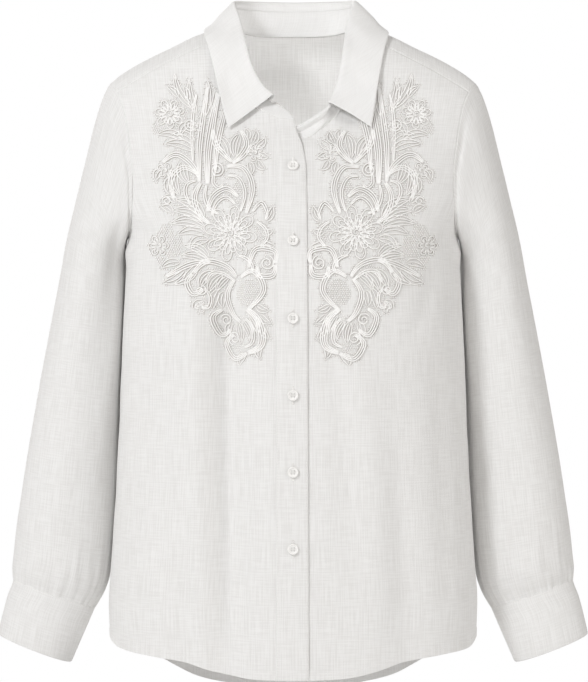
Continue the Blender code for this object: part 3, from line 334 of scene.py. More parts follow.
# Lights: name, place, target, size, power and colour
LIGHTS = (
    ("key", (-2.1, -2.6, 1.5), (0.0, 0.0, -0.25), 0.9, 59.0, (0.965, 0.98, 1.0)),
    ("right_fill", (2.6, -1.7, 0.5), (0.0, 0.0, -0.3), 1.4, 20.0, (1.0, 0.985, 0.965)),
    ("front_fill", (0.2, -3.1, 0.3), (0.0, 0.05, 0.0), 0.9, 7.0, WHITE),
    ("back_fill", (-0.9, 3.2, 1.3), (0.0, 0.0, -0.3), 1.6, 48.0, WHITE),
    ("neck_glow", (0.0, -0.03, -0.24), (0.0, 0.08, -0.02), 0.14, 0.22, WHITE),
)

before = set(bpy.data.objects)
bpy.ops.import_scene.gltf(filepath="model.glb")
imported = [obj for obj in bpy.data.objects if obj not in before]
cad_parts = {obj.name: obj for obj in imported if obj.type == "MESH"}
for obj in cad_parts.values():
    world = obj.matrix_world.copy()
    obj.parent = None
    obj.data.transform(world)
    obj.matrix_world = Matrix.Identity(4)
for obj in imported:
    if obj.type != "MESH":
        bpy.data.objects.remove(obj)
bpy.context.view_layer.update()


def smooth(keys, values, at):
    """A curve through the values that never overshoots them."""
    keys = np.asarray(keys, float)
    values = np.asarray(values, float)
    step = np.diff(keys)
    rise = np.diff(values) / step
    slope = np.empty_like(values)
    slope[0] = rise[0]
    slope[-1] = rise[-1]
    same_way = rise[:-1] * rise[1:] > 0
    total = np.where(same_way, rise[:-1] + rise[1:], 1.0)
    slope[1:-1] = np.where(same_way, 2.0 * rise[:-1] * rise[1:] / total, 0.0)
    at = np.clip(np.asarray(at, float), keys[0], keys[-1])
    cell = np.clip(np.searchsorted(keys, at) - 1, 0, len(step) - 1)
    t = (at - keys[cell]) / step[cell]
    start = (1 + 2 * t) * (1 - t) ** 2 * values[cell] + t * (1 - t) ** 2 * step[cell] * slope[cell]
    end = t * t * (3 - 2 * t) * values[cell + 1] + t * t * (t - 1) * step[cell] * slope[cell + 1]
    return start + end


def ease(share):
    """From 0 to 1 with a level start and end."""
    share = np.clip(share, 0.0, 1.0)
    return share * share * (3 - 2 * share)


class Table:
    """Rows of sizes under named columns. A table that is read along its first column rises in it."""

    def __init__(self, columns, rows):
        names = columns.split()
        self.columns = dict(zip(names, np.array(rows, float).T))
        self.keys = self.columns[names[0]]

    def read(self, column, at):
        return smooth(self.keys, self.columns[column], at)

    def rows(self):
        return zip(*self.columns.values())


# Level sections of the body
BODY = Table(
    "height half_width front back middle",
    (
        (-720, 195, 118, 109, -13), (-648, 196.5, 118, 107, -13), (-605, 197.6, 117.5, 105.5, -13),
        (-562, 195, 117, 104, -14), (-475, 189.5, 116.5, 101, -14), (-389, 185.5, 117, 98, -14),
        (-302, 182, 118.5, 97, -14), (-259, 179.5, 116, 99, -13.5), (-213, 176, 105, 100, -12),
        (-178, 190, 93, 99, -10), (-130, 203, 72, 95, -6.5), (-84, 213.5, 52, 88, -2.5),
        (-48, 221, 45, 82, 0), (20, 232, 38, 76, 0),
    ),
)

# The shoulder's ridge, from the neck outwards
RIDGE = Table(
    "out height",
    (
        (0, 18), (66, 15), (102, 5.4), (130, -8), (160, -22.5), (186, -38), (198.7, SHOULDER_HEIGHT),
        (232, -80),
    ),
)

ARMHOLE = Table(
    "height front back",
    (
        (UNDERARM_HEIGHT, 176, 176), (-206, 173.2, 175), (-195, 171.2, 174.2), (-178, 170.6, 174),
        (-146, 170.4, 175.5), (-120, 173.6, 178), (-90, 178.2, 182.2), (-74, 182, 186.6),
        (-61, 187, 190.8), (-52.5, 192.6, 194.8), (SHOULDER_HEIGHT, 198.7, 198.7),
    ),
)

FRONT_SEAM = Table(
    "out height",
    (
        (71, 2.4), (95, -8), (130, -24.5), (154, -37), (188.6, FRONT_SEAM_HEIGHT),
    ),
)

# The neckline over the yoke, rolled from the back (above 0) over the ridge (0) to the front
NECK_YOKE = Table(
    "share out roll",
    (
        (0, 0, 29), (0.25, 31, 27), (0.5, 55, 19), (0.75, 69, 0), (1, 71, -33.4),
    ),
)

# The neckline down each front to the end of the collar's leaf, and on to the end of the stand
NECK_RIGHT = Table(
    "share out height",
    (
        (0, 71, 2.4), (0.2, 69.5, -13), (0.45, 62.5, -38), (0.7, 48, -63), (0.9, 31, -82),
        (1, 23.5, -85.5), (1.3, 16, -88), (1.65, 7.5, -90), (2, -1, -91),
    ),
)

NECK_LEFT = Table(
    "share out height",
    (
        (0, 71, 2.4), (0.2, 70, -14), (0.45, 65, -41), (0.7, 55, -68), (0.9, 43, -88), (1, 37, -94),
        (1.3, 22, -105), (1.65, 5, -111), (2, -14, -113),
    ),
)

# Where the collar rolls over and where its leaf ends, from the back to the leaf's front end
COLLAR_RIGHT = Table(
    "share roll_x roll_y roll_z edge_x edge_y edge_z",
    (
        (0, 0, 50, 46, 0, 62, 4), (0.14, 30, 45.5, 46, 40, 57, 4), (0.27, 52, 29, 44.3, 72, 38, 7),
        (0.4, 61.3, 4, 40, 93.5, 6, 9.5), (0.5, 60.5, -12, 27, 94.5, -14, 3.5),
        (0.6, 57.2, -20, 8, 90, -32, -12), (0.7, 52.5, -26, -14, 85, -43, -32),
        (0.8, 46, -30, -35, 79.5, -52, -56), (0.9, 36.5, -35, -55, 74, -58, -79),
        (1, 23.5, -41, -68.5, 68.5, -64, -99.6),
    ),
)

COLLAR_LEFT = Table(
    "share roll_x roll_y roll_z edge_x edge_y edge_z",
    (
        (0, 0, 50, 46, 0, 62, 4), (0.14, 31, 45.5, 46, 42, 57, 4), (0.27, 54, 29, 44.3, 76, 38, 6.5),
        (0.4, 64.3, 4, 41.5, 100.5, 6, 7.5), (0.5, 63.3, -12, 28, 101.5, -14, 1.5),
        (0.6, 60.5, -19, 6, 97.5, -32, -13), (0.7, 57, -26, -17, 93.5, -44, -34),
        (0.8, 52.5, -35, -39, 89.5, -51, -56), (0.9, 46, -46, -58, 86.2, -57, -78),
        (1, 38, -57.5, -74, 82.7, -62, -99),
    ),
)

# The stand's top past the leaf's front end, over the same shares as the neckline
STAND_END_RIGHT = Table(
    "share top_x top_y top_z",
    (
        (1, 23.5, -42.5, -70), (1.3, 16.5, -44, -72.5), (1.65, 7, -47, -78.5), (2, -1, -52.5, -87),
    ),
)

STAND_END_LEFT = Table(
    "share top_x top_y top_z",
    (
        (1, 38, -56.5, -75.5), (1.3, 22, -57, -87), (1.65, 5.5, -58.5, -97), (2, -14, -61, -105),
    ),
)

# How much of the way up to the roll the stand reaches, from the back to the leaf's front end
STAND_HEIGHT = Table(
    "along of_roll",
    (
        (0, 0.72), (0.35, 0.76), (0.75, 0.86), (1, 0.93),
    ),
)

# The free edge of the front band, which opens towards the neck
BAND_EDGE = Table(
    "height out",
    (
        (-680, -16.5), (-300, -15), (-180, -14.4), (-146, -13.6), (-120, -10), (-104, -4.2), (-90, -1),
    ),
)

HEM_FRONT = Table(
    "out height",
    (
        (-17, -676), (20, -676), (55, -674), (84, -668.5), (116, -659), (155, -653), (186, -648),
        (196.4, SIDE_HEM_HEIGHT),
    ),
)

HEM_BACK = Table(
    "out height",
    (
        (0, -710), (50, -708), (85, -702), (110, -694), (150, -671), (186, -650),
        (196.4, SIDE_HEM_HEIGHT),
    ),
)

# Each sleeve's rings: the outer and the inner point seen from the front, then depth
SLEEVE = Table(
    "along outer_x outer_z inner_x inner_z middle_y half_depth",
    (
        (0, 198.7, SHOULDER_HEIGHT, 176, UNDERARM_HEIGHT, -4.5, 53),
        (15, 205.2, -62, 178.2, -216.5, -3, 54.5), (40, 213.2, -86, 179.8, -221.5, -1, 56.5),
        (85, 224.4, -130, 180.6, -230, 4, 58), (130, 235, -173, 180.8, -241, 9, 58),
        (174, 245.4, -216, 180.8, -256, 13, 57.5), (218, 253.4, -259, 180.8, -281, 15, 56.5),
        (262, 261.8, -302, 181.6, -315, 16, 55), (350, 277.8, -389, 185, -402, 14, 51.5),
        (437, 291.8, -475, 190, -489, 9, 47), (481, 297.2, -518, 193.4, -535, 5, 44),
        (520, 300.4, -556, 199, -577, 2, 40), (536, 301.8, -570, 205, -595, 1, 35),
        (549, 301.3, -581, 213.8, -611, 0, 28.5), (570, 308, -601.5, 223, -632, -1, 30),
        (612, 317.5, -640.4, 239.8, -670.7, -3, 30.5),
    ),
)

# Soft vertical folds of the body: around it in quarter turns from the front middle, where they
# begin, where they are full, how far they stand out (below 0 is a trough) and how wide they are
BODY_FOLDS = Table(
    "around begins full stands spread",
    (
        (-1.75, -330, -640, 4, 0.12), (-1.48, -250, -600, -6, 0.1), (-0.64, -320, -600, 3, 0.11),
        (-0.43, -280, -560, -7.5, 0.085), (-0.26, -320, -600, 2.5, 0.08), (0.46, -420, -650, -3.5, 0.1),
        (0.7, -260, -600, 3, 0.13), (1.4, -270, -600, -5.5, 0.11), (1.66, -340, -640, 4, 0.12),
    ),
)

# Creases of a sleeve: along it, degrees round it (front above 0), how far they stand, lengths
SLEEVE_FOLDS = Table(
    "along turn stands half_length half_turn",
    (
        (120, 128, -3.5, 95, 13), (230, 66, 2, 110, 22), (300, -100, -3.5, 80, 26),
        (352, 150, -3, 60, 20), (392, -60, -2.5, 60, 24), (452, 100, -2, 60, 16),
    ),
)

# Creases of the body, seen from the front or the back: from one point to another, how far they
# stand out of the cloth (below 0 is a trough), how wide they are, and how far they bow sideways
CREASES = Table(
    "side x0 z0 x1 z1 stands width bow",
    (
        (-1, -75, -225, -69, -730, -27, 21, 2), (-1, -66, -300, -58, -640, 2, 12, 3),
        (-1, -108, -270, -104, -690, 4, 14, 2), (-1, -150, -300, -134, -600, -1.6, 11, 4),
        (-1, -40, -340, -36, -620, -1.2, 9, 2), (-1, 6, -96, 44, -132, -2.6, 5, 3),
        (-1, 20, -98, 58, -146, 1.8, 6, 3), (-1, 34, -100, 72, -150, -1.4, 6, 3),
        (-1, 20, -110, 30, -190, -1, 6, 2), (-1, -30, -70, -62, -100, -2.4, 8, -2),
        (-1, 34, -72, 74, -98, -2.4, 8, 2), (-1, -26, -110, -20, -170, 1, 6, 1),
        (-1, 30, -290, 62, -610, -1.8, 12, 8), (-1, 62, -300, 92, -640, 1.6, 13, 6),
        (-1, 104, -380, 118, -650, -2, 12, 3), (-1, 150, -240, 120, -330, -1.6, 10, 5),
        (-1, 158, -215, 110, -250, -1.6, 8, 4), (-1, -158, -215, -116, -255, -1.6, 8, 4),
        (-1, 168, -190, 140, -215, 1.2, 7, 3), (-1, -168, -190, -140, -215, 1.2, 7, 3),
        (-1, 150, -330, 160, -640, -2.2, 12, 3), (1, -60, -150, -75, -690, -3, 16, 4),
        (1, 45, -200, 66, -690, -3.4, 15, -4), (1, 10, -260, 2, -700, 2, 15, -4),
        (1, 120, -240, 96, -640, 2.4, 15, 3), (1, -128, -230, -104, -660, 2.4, 15, 3),
        (1, 150, -215, 96, -262, -1.8, 9, 4), (1, -150, -215, -96, -262, -1.8, 9, 4),
        (1, -20, -560, -8, -700, -2, 12, 3), (1, -150, -300, -146, -640, -2, 12, 3),
        (1, 146, -320, 140, -640, -2, 12, 3),
    ),
)

STEMS = Table(
    "strands x0 z0 x1 z1 x2 z2 x3 z3",
    (
        (4, 80, -56, 87, -88, 92, -122, 92, -156), (3, 70, -66, 77, -92, 82, -116, 84, -142),
        (3, 92, -50, 97, -84, 101, -118, 101, -154), (2, 104, -58, 108, -80, 109, -104, 108, -132),
        (3, 99, -154, 106, -170, 101, -188, 90, -198), (2, 93, -156, 95, -170, 90, -182, 80, -188),
        (2, 84, -142, 86, -154, 80, -160, 75, -155), (3, 101, -150, 110, -134, 126, -124, 141, -133),
        (3, 102, -146, 118, -138, 131, -150, 128, -172), (2, 104, -152, 114, -156, 116, -166, 110, -178),
        (3, 72, -137, 53, -139, 44, -160, 51, -188), (2, 71, -147, 58, -150, 52, -166, 57, -186),
        (3, 92, -186, 86, -169, 72, -161, 59, -170), (2, 88, -190, 82, -176, 72, -170, 62, -178),
        (3, 86, -96, 84, -112, 74, -124, 66, -132), (3, 57, -97, 50, -112, 56, -124, 66, -133),
        (2, 66, -134, 56, -128, 50, -122, 44, -112), (3, 90, -238, 104, -240, 120, -246, 137, -256),
        (3, 62, -256, 74, -242, 94, -238, 108, -252), (3, 108, -252, 114, -262, 108, -274, 98, -268),
        (2, 98, -268, 92, -276, 94, -288, 101, -288), (2, 64, -260, 78, -250, 90, -250, 96, -262),
        (3, 64, -257, 74, -274, 68, -294, 58, -304), (3, 58, -256, 42, -250, 32, -270, 50, -292),
        (3, 48, -246, 40, -226, 20, -228, 19, -242), (3, 19, -242, 22, -254, 36, -254, 38, -244),
        (4, 51, -290, 37, -304, 34, -328, 50, -338), (3, 50, -338, 66, -344, 76, -328, 66, -318),
        (2, 52, -300, 44, -312, 44, -326, 54, -332), (3, 80, -290, 90, -300, 82, -318, 70, -312),
        (2, 60, -232, 50, -236, 44, -244, 46, -252), (2, 40, -196, 30, -204, 28, -214, 36, -224),
        (2, 44, -186, 34, -176, 28, -186, 30, -194),
    ),
)

# Leaves: from base to tip, how wide, how far they bow to the left of their way, and their ribs
LEAVES = Table(
    "ribs base_x base_z tip_x tip_z width bow",
    (
        (1, 96, -84, 92, -44, 7, 2), (1, 104, -80, 112, -42, 7, -3), (1, 108, -74, 128, -36, 7, -5),
        (1, 88, -78, 84, -54, 6, 2), (1, 114, -66, 118, -50, 6, 2), (1, 124, -62, 136, -50, 6, 2),
        (1, 112, -90, 122, -104, 8, 3), (1, 106, -112, 132, -104, 9, 5), (1, 106, -120, 138, -112, 9, 4),
        (1, 118, -108, 146, -102, 8, 4), (2, 120, -132, 112, -156, 11, 3),
        (2, 128, -138, 122, -168, 10, 4), (1, 132, -148, 134, -166, 8, 2),
        (1, 142, -140, 148, -152, 8, 2), (2, 82, -104, 70, -130, 11, -3), (2, 58, -102, 62, -128, 10, 3),
        (1, 50, -108, 52, -96, 7, 2), (1, 44, -112, 40, -98, 7, 2), (1, 40, -116, 30, -106, 7, 2),
        (1, 36, -122, 26, -126, 7, 2), (1, 38, -130, 30, -140, 7, 2), (1, 48, -132, 46, -146, 7, -2),
        (2, 96, -192, 126, -172, 11, 5), (2, 96, -196, 130, -184, 11, 5), (2, 96, -202, 132, -198, 11, 5),
        (1, 96, -208, 124, -210, 9, 4), (1, 92, -214, 112, -226, 9, 4), (1, 126, -176, 138, -168, 7, 2),
        (1, 130, -186, 142, -180, 7, 2), (2, 92, -234, 118, -222, 9, 4), (2, 92, -238, 122, -234, 9, 4),
        (1, 104, -242, 128, -264, 9, -4), (1, 116, -248, 140, -262, 9, -4),
        (1, 122, -240, 142, -246, 8, 3), (2, 70, -252, 86, -270, 9, 3), (2, 78, -250, 94, -272, 9, 3),
        (2, 88, -248, 102, -268, 9, 3), (1, 84, -268, 90, -290, 8, 2), (1, 78, -270, 80, -288, 8, 2),
        (1, 98, -282, 108, -290, 7, 2), (1, 30, -196, 22, -180, 7, 2), (1, 34, -206, 22, -206, 7, 2),
        (1, 34, -218, 20, -222, 7, 2), (2, 48, -296, 38, -318, 8, -3), (2, 56, -302, 46, -326, 8, -3),
        (2, 62, -304, 58, -328, 9, -2), (1, 70, -304, 74, -322, 8, 2), (1, 40, -286, 26, -292, 7, 2),
        (1, 36, -296, 24, -306, 7, 2), (1, 34, -308, 26, -322, 7, 2), (1, 36, -330, 36, -344, 7, 2),
        (1, 52, -340, 60, -352, 8, 3),
    ),
)

# Flowers: middle, radius, petals, rows of petals and the turn of the first one
FLOWERS = Table(
    "x z radius petals rows turn",
    (
        (133, -80, 16, 7, 2, 10), (138, -141, 9, 4, 1, 30), (41, -122, 9, 5, 1, 0),
        (68, -208, 29, 8, 3, 12), (145, -222, 11, 6, 1, 0), (100, -288, 6, 4, 1, 0),
        (104, -94, 6, 4, 1, 45),
    ),
)

SPIRALS = Table(
    "x z radius turns start",
    (
        (82, -141, 8, 2, 40), (111, -92, 7, 1.8, 200), (28, -241, 8, 1.7, 100), (66, -322, 8, 1.7, 280),
        (76, -302, 7, 1.6, 20), (101, -270, 6, 1.5, 90), (136, -174, 5, 1.4, 0),
    ),
)

# Knots sewn side by side to fill a leaf-shaped ground
KNOT_GROUNDS = Table(
    "x z half_x half_z tilt",
    (
        (63, -118, 7, 14, -10), (59, -164, 7, 16, 8), (50, -272, 12, 15, 20), (137, -208, 9, 10, 0),
        (140, -234, 9, 9, 0), (126, -222, 8, 12, 0), (118, -166, 7, 9, 20), (90, -132, 5, 14, 0),
        (56, -228, 8, 6, 0), (28, -226, 6, 5, 0), (36, -258, 5, 6, 0), (146, -96, 7, 8, 0),
        (118, -78, 5, 10, 0), (60, -330, 6, 7, 0), (80, -276, 5, 8, 0), (96, -256, 7, 6, 0),
        (38, -206, 5, 12, 0), (46, -238, 6, 5, 0),
    ),
)


def across_curve(power):
    """Arc share, width share and depth share along a quarter of the body's level section."""
    turn = np.linspace(0.0, math.pi / 2, CURVE_STEPS)
    wide = np.sin(turn) ** (2 / power)
    deep = np.cos(turn) ** (2 / power)
    deep[-1] = 0.0
    steps = np.hypot(np.diff(wide), SECTION_DEPTH_SHARE * np.diff(deep))
    arc = np.concatenate([[0.0], np.cumsum(steps)])
    return arc / arc[-1], wide, deep


CURVES = {-1: across_curve(FRONT_POWER), 1: across_curve(BACK_POWER)}


def arc_share(out, height, side):
    """How far round a quarter of the body a point lies, from its distance off the middle."""
    arc, wide, _ = CURVES[side]
    share = np.asarray(out, float) / BODY.read("half_width", height)
    return np.sign(share) * np.interp(np.abs(share), wide, arc)


def roll_over(fall, side):
    """Depth share where the shoulder rolls over, from the height below its ridge."""
    radius = np.where(np.asarray(side) < 0, FRONT_ROLL, BACK_ROLL)
    left = 1 - np.clip(fall / radius, 0.0, 1.0)
    return np.sqrt(1 - left * left)


def panel_points(arc, height, side):
    """Points of the body's form at an arc share and a height, on the front (-1) or back (1)."""
    arcs, wide, deep = CURVES[side]
    out = BODY.read("half_width", height) * np.interp(np.abs(arc), arcs, wide) * np.sign(arc)
    depth = BODY.read("front" if side < 0 else "back", height) * np.interp(np.abs(arc), arcs, deep)
    over = roll_over(RIDGE.read("height", np.abs(out)) - height, side)
    y = BODY.read("middle", height) + side * depth * over
    return np.stack([out, y, height + 0 * out], axis=-1)


def yoke_points(out, roll):
    """Points of the body's form by the distance rolled over the shoulder's ridge, 0 on it."""
    side = np.where(roll < 0, -1, 1)
    radius = np.where(roll < 0, FRONT_ROLL, BACK_ROLL)
    rolled = np.abs(roll)
    quarter = radius * math.pi / 2
    fall = np.where(rolled < quarter, radius * (1 - np.cos(rolled / radius)), radius + rolled - quarter)
    height = RIDGE.read("height", np.abs(out)) - fall
    power = np.where(side < 0, FRONT_POWER, BACK_POWER)
    share = np.abs(out) / BODY.read("half_width", height)
    across = (1 - share**power) ** (1 / power)
    depth = np.where(side < 0, BODY.read("front", height), BODY.read("back", height))
    y = BODY.read("middle", height) + side * depth * across * roll_over(fall, side)
    return np.stack([out, y, height], axis=-1)


def roll_at(out, height, side):
    """The distance rolled over the ridge down to a height."""
    radius = FRONT_ROLL if side < 0 else BACK_ROLL
    fall = RIDGE.read("height", np.abs(out)) - height
    inside = radius * np.arccos(np.clip(1 - fall / radius, -1.0, 1.0))
    return side * np.where(fall < radius, inside, radius * math.pi / 2 + fall - radius)


def body_level(points, rounded):
    """Above 0 outside the body's form, 0 on it. The rounded kind serves the shoulders."""
    x, y, z = np.moveaxis(points, -1, 0)
    away = y - BODY.read("middle", z)
    side = np.where(away < 0, -1, 1)
    depth = np.where(side < 0, BODY.read("front", z), BODY.read("back", z))
    power = np.where(side < 0, FRONT_POWER, BACK_POWER)
    share = np.abs(x) / BODY.read("half_width", z)
    if not rounded:
        return share**power + (np.abs(away) / depth) ** power - 1
    across = (1 - np.clip(share, 0.0, WIDEST_SHARE) ** power) ** (1 / power)
    radius = np.where(side < 0, FRONT_ROLL, BACK_ROLL)
    left = 1 - np.minimum((RIDGE.read("height", np.abs(x)) - z) / radius, 1.0)
    return (away / (depth * across)) ** 2 - 1 + left * left


def slope_of(points, rounded):
    """The direction and rate at which the body's level rises."""
    parts = []
    for axis in range(3):
        move = np.zeros(3)
        move[axis] = LEVEL_STEP
        rise = body_level(points + move, rounded) - body_level(points - move, rounded)
        parts.append(rise / (2 * LEVEL_STEP))
    return np.stack(parts, axis=-1)


def body_normals(points):
    """Unit directions straight out of the body's form."""
    upper = points[..., 2:] > ROUNDED_ABOVE
    slope = np.where(upper, slope_of(points, True), slope_of(points, False))
    return slope / np.linalg.norm(slope, axis=-1, keepdims=True)


def lift_clear(points, clear, rounded):
    """Points moved straight out of the body's form until they clear it."""
    points = np.array(points)
    for _ in range(LIFT_PASSES):
        slope = slope_of(points, rounded)
        size = np.linalg.norm(slope, axis=-1, keepdims=True)
        gap = body_level(points, rounded)[..., None] / size
        points += np.maximum(clear - gap, 0.0) * slope / size
    return points


def body_folds(around, height):
    """How far the cloth of the body stands out of its form."""
    total = 0.0
    for place, begins, full, stands, spread in BODY_FOLDS.rows():
        along = ease((begins - height) / (begins - full))
        total = total + stands * along * np.exp(-(((around - place) / spread) ** 2))
    return total


def armhole_points(turn):
    """Armhole points by degrees from the shoulder tip: front above 0, underarm at 180."""
    turn = np.asarray(turn, float)
    middle = (SHOULDER_HEIGHT + UNDERARM_HEIGHT) / 2
    half = (SHOULDER_HEIGHT - UNDERARM_HEIGHT) / 2
    height = middle + half * np.cos(np.radians(turn))
    front = panel_points(arc_share(ARMHOLE.read("front", height), height, -1), height, -1)
    back = panel_points(arc_share(ARMHOLE.read("back", height), height, 1), height, 1)
    return np.where((turn > 0)[..., None], front, back)


def armhole_turn(height):
    """The armhole's degrees from the shoulder tip down to a height, as in armhole_points."""
    middle = (SHOULDER_HEIGHT + UNDERARM_HEIGHT) / 2
    half = (SHOULDER_HEIGHT - UNDERARM_HEIGHT) / 2
    return math.degrees(math.acos((height - middle) / half))


FRONT_TURN = armhole_turn(FRONT_SEAM_HEIGHT)


BACK_TURN = armhole_turn(BACK_SEAM_HEIGHT)


def armhole_turns():
    """The armhole's stations in degrees, from the underarm up the front and down the back."""
    front = np.linspace(180.0, FRONT_TURN, ARM_FRONT_ROWS + 1)
    yoke_front = np.linspace(FRONT_TURN, 0.0, ARM_YOKE_FRONT + 1)
    yoke_back = np.linspace(0.0, -BACK_TURN, ARM_YOKE_BACK + 1)
    back = np.linspace(-BACK_TURN, -180.0, ARM_BACK_ROWS + 1)
    return front, np.concatenate([yoke_front, yoke_back[1:]]), back


def filled(bottom, top, left, right):
    """A grid of values between four edges, each an array of points with matching corners."""
    u = np.linspace(0.0, 1.0, len(bottom))[None, :, None]
    v = np.linspace(0.0, 1.0, len(left))[:, None, None]
    between = (1 - v) * bottom[None] + v * top[None] + (1 - u) * left[:, None] + u * right[:, None]
    corners = (1 - v) * ((1 - u) * bottom[0] + u * bottom[-1]) + v * ((1 - u) * top[0] + u * top[-1])
    return between - corners


def pairs(first, second):
    return np.stack(np.broadcast_arrays(first, second), axis=-1).astype(float)


def neck_shares(panel_only, right):
    """Shares of the front neckline's stations from the yoke to its end."""
    leaf = np.linspace(0.0, 1.0, NECK_LEAF_COLUMNS + 1)
    end = np.array(NECK_END_SHARES)
    if panel_only and right:
        end = end[:1]
    return np.concatenate([leaf, end])


def front_seam_outs():
    corner = ARMHOLE.read("front", FRONT_SEAM_HEIGHT)
    return np.linspace(FRONT_SEAM.keys[0], corner, SEAM_COLUMNS + 1)


def front_grid(right):
    """Arc shares and heights of one front, from its middle edge to the side and up."""
    neck = NECK_RIGHT if right else NECK_LEFT
    shares = neck_shares(True, right)[::-1]
    seam = front_seam_outs()
    top_out = np.concatenate([neck.read("out", shares), seam[1:]])
    top_height = np.concatenate([neck.read("height", shares), FRONT_SEAM.read("height", seam[1:])])
    top = pairs(arc_share(top_out, top_height, -1), top_height)
    edge_out = FRONT_EDGE_RIGHT if right else FRONT_EDGE_LEFT
    rows = SIDE_ROWS + ARM_FRONT_ROWS
    heights = np.linspace(HEM_FRONT.read("height", edge_out), top_height[0], rows + 1)
    left = pairs(arc_share(edge_out, heights, -1), heights)
    side_heights = np.linspace(SIDE_HEM_HEIGHT, UNDERARM_HEIGHT, SIDE_ROWS + 1)
    side = pairs(1.0, side_heights)
    front_turns, _, _ = armhole_turns()
    arm = armhole_points(front_turns[1:])
    right_edge = np.concatenate([side, pairs(arc_share(arm[:, 0], arm[:, 2], -1), arm[:, 2])])
    outs = np.linspace(edge_out, BODY.read("half_width", SIDE_HEM_HEIGHT), HEM_STEPS)
    hem_height = HEM_FRONT.read("height", outs)
    hem_line = pairs(arc_share(outs, hem_height, -1), hem_height)
    hem_line[-1] = (1.0, SIDE_HEM_HEIGHT)
    hem = hem_at_equal_arcs(hem_line, len(top))
    return filled(hem, top, left, right_edge)


def hem_at_equal_arcs(line, count):
    """Hem stations at equal arc shares."""
    arcs = np.linspace(line[0, 0], line[-1, 0], count)
    return pairs(arcs, np.interp(arcs, line[:, 0], line[:, 1]))


def back_grid():
    """Arc shares and heights of the back's half, from its middle to the side and up."""
    columns = NECK_YOKE_COLUMNS + SEAM_COLUMNS
    corner = ARMHOLE.read("back", BACK_SEAM_HEIGHT)
    outs = np.linspace(0.0, corner, columns + 1)
    top = pairs(arc_share(outs, BACK_SEAM_HEIGHT, 1), BACK_SEAM_HEIGHT)
    rows = SIDE_ROWS + ARM_BACK_ROWS
    heights = np.linspace(HEM_BACK.read("height", 0.0), BACK_SEAM_HEIGHT, rows + 1)
    left = pairs(0.0, heights)
    side_heights = np.linspace(SIDE_HEM_HEIGHT, UNDERARM_HEIGHT, SIDE_ROWS + 1)
    _, _, back_turns = armhole_turns()
    arm = armhole_points(back_turns[-2::-1])
    side = pairs(1.0, side_heights)
    right_edge = np.concatenate([side, pairs(arc_share(arm[:, 0], arm[:, 2], 1), arm[:, 2])])
    outs = np.linspace(0.0, BODY.read("half_width", SIDE_HEM_HEIGHT), HEM_STEPS)
    hem_height = HEM_BACK.read("height", outs)
    hem_line = pairs(arc_share(outs, hem_height, 1), hem_height)
    hem_line[-1] = (1.0, SIDE_HEM_HEIGHT)
    return filled(hem_at_equal_arcs(hem_line, len(top)), top, left, right_edge)


def yoke_grid():
    """Distances out and rolls of the yoke's half, from the back seam to the neck and front seam."""
    columns = NECK_YOKE_COLUMNS + SEAM_COLUMNS
    corner = ARMHOLE.read("back", BACK_SEAM_HEIGHT)
    outs = np.linspace(0.0, corner, columns + 1)
    bottom = pairs(outs, roll_at(outs, BACK_SEAM_HEIGHT, 1))
    shares = np.linspace(0.0, 1.0, NECK_YOKE_COLUMNS + 1)
    neck = pairs(NECK_YOKE.read("out", shares), NECK_YOKE.read("roll", shares))
    seam_outs = front_seam_outs()
    seam = pairs(seam_outs, roll_at(seam_outs, FRONT_SEAM.read("height", seam_outs), -1))
    neck[-1] = seam[0]
    top = np.concatenate([neck, seam[1:]])
    rows = ARM_YOKE_FRONT + ARM_YOKE_BACK
    left = pairs(0.0, np.linspace(bottom[0, 1], top[0, 1], rows + 1))
    _, turns, _ = armhole_turns()
    arm = armhole_points(turns[::-1])
    sides = np.where(turns[::-1] > 0, -1, 1)
    rolls = [float(roll_at(p[0], p[2], s)) for p, s in zip(arm, sides)]
    right_edge = pairs(arm[:, 0], np.array(rolls))
    right_edge[0] = bottom[-1]
    right_edge[-1] = top[-1]
    return filled(bottom, top, left, right_edge)


def directions(lines):
    """Lines of any length made one long."""
    return lines / np.linalg.norm(lines, axis=-1, keepdims=True)


def mirrored(points):
    return points * np.array([-1.0, 1.0, 1.0])


def sleeve_row(along, turns):
    """One ring of a sleeve at its stations, on its own oval form."""
    outer = np.array([SLEEVE.read("outer_x", along), SLEEVE.read("outer_z", along)])
    inner = np.array([SLEEVE.read("inner_x", along), SLEEVE.read("inner_z", along)])
    middle = (outer + inner) / 2
    reach = (outer - inner) / 2
    cos = np.cos(np.radians(turns))
    sin = np.sin(np.radians(turns))
    x = middle[0] + reach[0] * cos
    z = middle[1] + reach[1] * cos
    y = SLEEVE.read("middle_y", along) - SLEEVE.read("half_depth", along) * sin
    return np.stack([x, y, z], axis=-1)


def sleeve_folds(along, turns):
    total = 0.0
    for place, turn, stands, half_length, half_turn in SLEEVE_FOLDS.rows():
        away = (turns - turn + 180.0) % 360.0 - 180.0
        reach = ((along - place) / half_length) ** 2 + (away / half_turn) ** 2
        total = total + stands * np.exp(-reach)
    return total


def neck_points(right):
    """The neckline's stations from the back middle to the front end, on one side."""
    shares = np.linspace(0.0, 1.0, NECK_YOKE_COLUMNS + 1)
    over = yoke_points(NECK_YOKE.read("out", shares), NECK_YOKE.read("roll", shares))
    neck = NECK_RIGHT if right else NECK_LEFT
    shares = neck_shares(False, right)
    height = neck.read("height", shares)
    down = panel_points(arc_share(neck.read("out", shares), height, -1), height, -1)
    over[-1] = down[0]
    return np.concatenate([over, down[1:]])


def leaf_shares(line):
    """Length shares of the stations along the leaf."""
    steps = np.linalg.norm(np.diff(line, axis=0), axis=1)
    length = np.concatenate([[0.0], np.cumsum(steps)])
    return length / length[-1]


